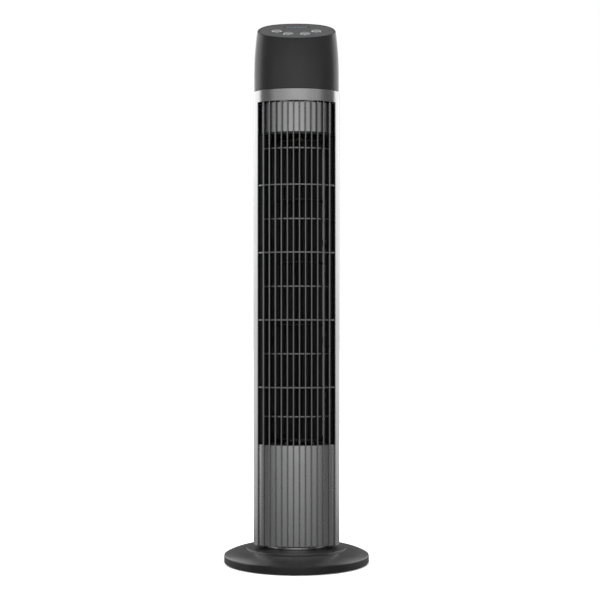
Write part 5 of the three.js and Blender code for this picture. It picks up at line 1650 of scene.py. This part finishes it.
    def button(self, node: str, body: str) -> None:
        """Spin one silver button with a shallow dish in its top.

        Args:
            node: the frame's button.
            body: its body.
        """
        place = self.place_of(node)
        top, radius, stem = self.button_proud, self.button_radius, self.stem_radius
        seat = -(self.face_recess + self.face_thickness + GAP)
        foot, flange = seat - self.flange_height, radius + self.flange_reach
        end = foot - self.stem_length
        dish_steps = 8
        bowl = [((radius - self.button_lip) * i / dish_steps,
                 top - self.button_dish * (1 - (i / dish_steps) ** 2)) for i in range(dish_steps + 1)]
        profile = [*bowl, (radius, top), (radius, seat), (flange, seat), (flange, foot), (stem, foot),
                   (stem, end), (0, end)]
        bm = spun(profile, 96)
        soften(bm, self.button_round, 4, 60, lambda e: on_circle(e, radius, top))
        soften(bm, 0.2 * MM, 2, 60)
        centre = self.matrix @ Vector((place.x, place.y, 0))
        bmesh.ops.transform(
            bm, matrix=self.matrix @ Matrix.Translation((place.x, place.y, 0)), verts=bm.verts)
        silver = TurnedMetal(
            f"spun_silver_{body}", (0.78, 0.785, 0.79), 0.22, centre=tuple(centre), tilt=self.tilt,
            ring_scale=4200, grain_height=0.01 * MM, tone_swing=0.06, smudge_swing=0.03)
        install(bm, f"{node}_fine", silver, body, Slot.BUTTON, [node])

    def marks(self) -> None:
        """Print plain ticks and dots by the buttons, with a faint painted glow, and a row of lit marks
        in the window.
        """
        print_bm, lit_bm = bmesh.new(), bmesh.new()
        below = {"button_power": (1.2, 2.2, 1.2, 2.6), "button_speed": (2.4, 0.9, 3.4),
                 "button_swing": (1.8, 1.8, 2.6), "button_timer": (1.0, 2.8, 1.4, 2.2)}
        above = {"button_power": 1, "button_speed": 2, "button_swing": 1, "button_timer": 3}
        for node, ticks in below.items():
            x, y, _ = self.place_of(node)
            dots = [self.dot_size] * above[node]
            self._row(print_bm, x, y - self.mark_distance, [w * MM for w in ticks], self.tick_height)
            self._row(print_bm, x, y + self.mark_distance, dots, self.dot_size)
        lens = self.place_of("display_lens")
        widths = [w * MM for w in (2.6, 0.8, 2.2, 0.8, 3.0, 2.4, 1.0, 2.8, 1.6, 2.2, 0.9, 2.6)]
        self._row(lit_bm, lens.x, lens.y, widths, self.lit_height)
        # The printed marks carry a painted glow; the display marks glow as the lit display's own light.
        for bm, name, finish, slot in ((print_bm, "printed_marks_painted_glow", PRINT_WITH_PAINTED_GLOW, Slot.FACE),
                                       (lit_bm, "display_marks", LIT_MARKS, Slot.LENS)):
            bmesh.ops.transform(bm, matrix=self.matrix, verts=bm.verts)
            install(bm, name, finish, Body.TOWER.value, slot)

    def _row(
        self, bm: bmesh.types.BMesh, x: float, along: float, widths: Sequence[float], height: float
    ) -> None:
        """Lay a centred row of thin bars on the face.

        Args:
            bm: the mesh that takes them.
            x: the row's middle across the face.
            along: its place up the slope.
            widths: each bar's width.
            height: the bars' height.
        """
        left = x - (sum(widths) + self.mark_space * (len(widths) - 1)) / 2
        for width in widths:
            bar = rounded_box(width / 2, height / 2, self.mark_corner, self.mark_spacing)
            outline = [(left + px + width / 2, along + py, -self.face_recess) for px, py in bar]
            add_to(bm, plate_from(outline, (0, 0, self.mark_thickness)))
            left += width + self.mark_space


# ------------------------------------------------------------------ nodes that keep their shape


class Workings:
    """Inner nodes whose own shape is right: they only take a finish."""

    screws_of_a_kind: int = 3
    finishes: dict[str, tuple[Finish, Slot]] = {
        "ballast_ring": (IRON, Slot.BALLAST),
        "pivot_post": (STEEL, Slot.STEEL),
        "swivel_washer": (NYLON, Slot.NYLON),
        "swing_gear": (NYLON, Slot.NYLON),
        "retaining_ring": (STEEL, Slot.STEEL),
        "column_floor": (INNER_PLASTIC, Slot.INNER),
        "motor_plate": (INNER_PLASTIC, Slot.INNER),
        "motor_body": (MOTOR_CASE, Slot.MOTOR),
        "bearing_plate": (INNER_PLASTIC, Slot.INNER),
        "upper_bush": (BRONZE, Slot.BRONZE),
        "swing_motor": (MOTOR_CASE, Slot.MOTOR),
        "main_board": (BOARD, Slot.BOARD),
        "control_board": (BOARD, Slot.BOARD),
        "motor_shaft": (STEEL, Slot.STEEL),
        "upper_shaft": (STEEL, Slot.STEEL),
        "swing_pinion": (NYLON, Slot.NYLON),
    }

    def build(self) -> None:
        """Give each inner node its finish."""
        for node, (finish, slot) in self.finishes.items():
            self.dress(node, finish, slot)
        for number in range(1, self.screws_of_a_kind + 1):
            self.dress(f"post_screw_{number}", STEEL, Slot.STEEL)
            self.dress(f"motor_screw_{number}", STEEL, Slot.STEEL)

    @staticmethod
    def dress(node: str, finish: Finish, slot: Slot) -> None:
        """Assign a finish to a node of the frame.

        Args:
            node: the node.
            finish: its finish.
            slot: the record's slot for it; not used.
        """
        piece = frame["nodes"][node]
        piece.data.materials.clear()
        piece.data.materials.append(finish.build())
        log.info("node %s keeps its shape, in %s", node, finish.name)


# ------------------------------------------------------------------ stage


@dataclass(frozen=True)
class SoftLight:
    """A rectangular studio light that faces a point."""

    name: str
    place: tuple[float, float, float]
    aim: tuple[float, float, float]
    width: float
    height: float
    radiance: float

    def build(self) -> None:
        """Hang the light; its power follows from its size and the radiance it should have."""
        data = bpy.data.lights.new(self.name, "AREA")
        data.shape = "RECTANGLE"
        data.size, data.size_y = self.width, self.height
        data.energy = self.radiance * HALF_TURN * self.width * self.height
        lamp = bpy.data.objects.new(self.name, data)
        bpy.context.scene.collection.objects.link(lamp)
        lamp.location = self.place
        lamp.rotation_mode = "QUATERNION"
        lamp.rotation_quaternion = (Vector(self.aim) - Vector(self.place)).to_track_quat("-Z", "Y")
        lamp.visible_camera = False


@dataclass
class Stage:
    """The floor, the lights, the background and the camera."""

    lens: float = 70.8
    sensor: float = 36.0
    distance: float = 1.984
    eye_height: float = 0.3676
    shift_x: float = 0.0058
    shift_y: float = 0.0717
    floor_half_size: float = 60.0
    ambient: float = 0.2
    wash: float = 4.2
    wash_spread: float = math.radians(100)
    wall_radiance: float = 2.2
    wall_top: float = 2.6
    walls: tuple[tuple[str, Point, float], ...] = (
        ("left", (-1.58, 0.8), 3.0), ("right", (1.7, 1.0), 2.7))
    wall_layers: tuple[Point, ...] = ((-0.22, 0.34), (0.1, 0.2), (0.55, 0.22), (0.95, 0.22))
    layer_spacing: float = 0.04
    lights: tuple[SoftLight, ...] = (
        SoftLight("front_fill", (0.0, -3.0, 0.95), (0, 0, 0.95), 5.0, 2.5, 0.5),
        SoftLight("front_key", (0.0, -3.2, 1.0), (0, 0, 1.0), 1.7, 2.4, 0.26),
        SoftLight("top_strip", (0.0, 1.5, 2.5), (0, 0, 0.88), 2.4, 0.9, 0.2),
    )

    def build(self) -> None:
        """Build the stage."""
        self.camera()
        self.floor()
        self.background()
        self.floor_wash()
        for light in (*self.lights, *self.side_walls()):
            light.build()

    def side_walls(self) -> list[SoftLight]:
        """Plan a wall of light on each side, in layers that make it brighter towards its top."""
        walls = []
        for side, (x, y), width in self.walls:
            for number, (bottom, share) in enumerate(self.wall_layers):
                out = 1 + number * self.layer_spacing
                z = (bottom + self.wall_top) / 2
                walls.append(SoftLight(
                    f"{side}_wall_{number + 1}", (x * out, y * out, z), (0, 0, z), width,
                    self.wall_top - bottom, share * self.wall_radiance))
        return walls

    def camera(self) -> None:
        """Set the camera level in front of the fan."""
        data = bpy.data.cameras.new("studio_camera")
        data.lens, data.sensor_width = self.lens, self.sensor
        data.shift_x, data.shift_y = self.shift_x, self.shift_y
        camera = bpy.data.objects.new("studio_camera", data)
        camera.location = (0, -self.distance, self.eye_height)
        camera.rotation_euler = (QUARTER_TURN, 0, 0)
        bpy.context.scene.collection.objects.link(camera)
        bpy.context.scene.camera = camera

    def floor(self) -> None:
        """Lay a plain pale floor under the fan, which is neither mirrored nor shades anything."""
        bm = bmesh.new()
        bmesh.ops.create_grid(bm, x_segments=1, y_segments=1, size=self.floor_half_size)
        mesh = bpy.data.meshes.new("studio_floor")
        bm.to_mesh(mesh)
        bm.free()
        mesh.materials.append(FLOOR_FINISH.build())
        floor = bpy.data.objects.new("studio_floor", mesh)
        floor.visible_glossy = False
        floor.visible_shadow = False
        bpy.context.scene.collection.objects.link(floor)

    def floor_wash(self) -> None:
        """Light the floor evenly from high above, with a very wide and soft lamp."""
        data = bpy.data.lights.new("floor_wash", "SUN")
        data.energy, data.angle = self.wash, self.wash_spread
        lamp = bpy.data.objects.new("floor_wash", data)
        lamp.visible_glossy = False
        bpy.context.scene.collection.objects.link(lamp)

    def background(self) -> None:
        """Show white to the camera and a dim even grey to everything else."""
        scene = bpy.context.scene
        scene.view_settings.view_transform = "Standard"
        world = bpy.data.worlds.new("studio_background")
        scene.world = world
        world.use_nodes = True
        tree = world.node_tree
        tree.nodes.clear()
        rays = tree.nodes.new("ShaderNodeLightPath")
        dim = tree.nodes.new("ShaderNodeBackground")
        white = tree.nodes.new("ShaderNodeBackground")
        dim.inputs["Color"].default_value = (self.ambient, self.ambient, self.ambient, 1)
        white.inputs["Color"].default_value = (1, 1, 1, 1)
        mix = tree.nodes.new("ShaderNodeMixShader")
        output = tree.nodes.new("ShaderNodeOutputWorld")
        tree.links.new(rays.outputs["Is Camera Ray"], mix.inputs[0])
        tree.links.new(dim.outputs[0], mix.inputs[1])
        tree.links.new(white.outputs[0], mix.inputs[2])
        tree.links.new(mix.outputs[0], output.inputs[0])


def main() -> None:
    """Build the stage, then the fan from the floor up."""
    logging.basicConfig(level=logging.INFO, format="%(name)s: %(message)s")
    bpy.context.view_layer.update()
    plan = Plan.from_frame()
    column = Column(plan)
    for part in (Stage(), Base(), column, CrossFlowFan(column), Head(plan), Workings()):
        log.info("building %s", type(part).__name__)
        part.build()


if __name__ == "__main__":
    main()
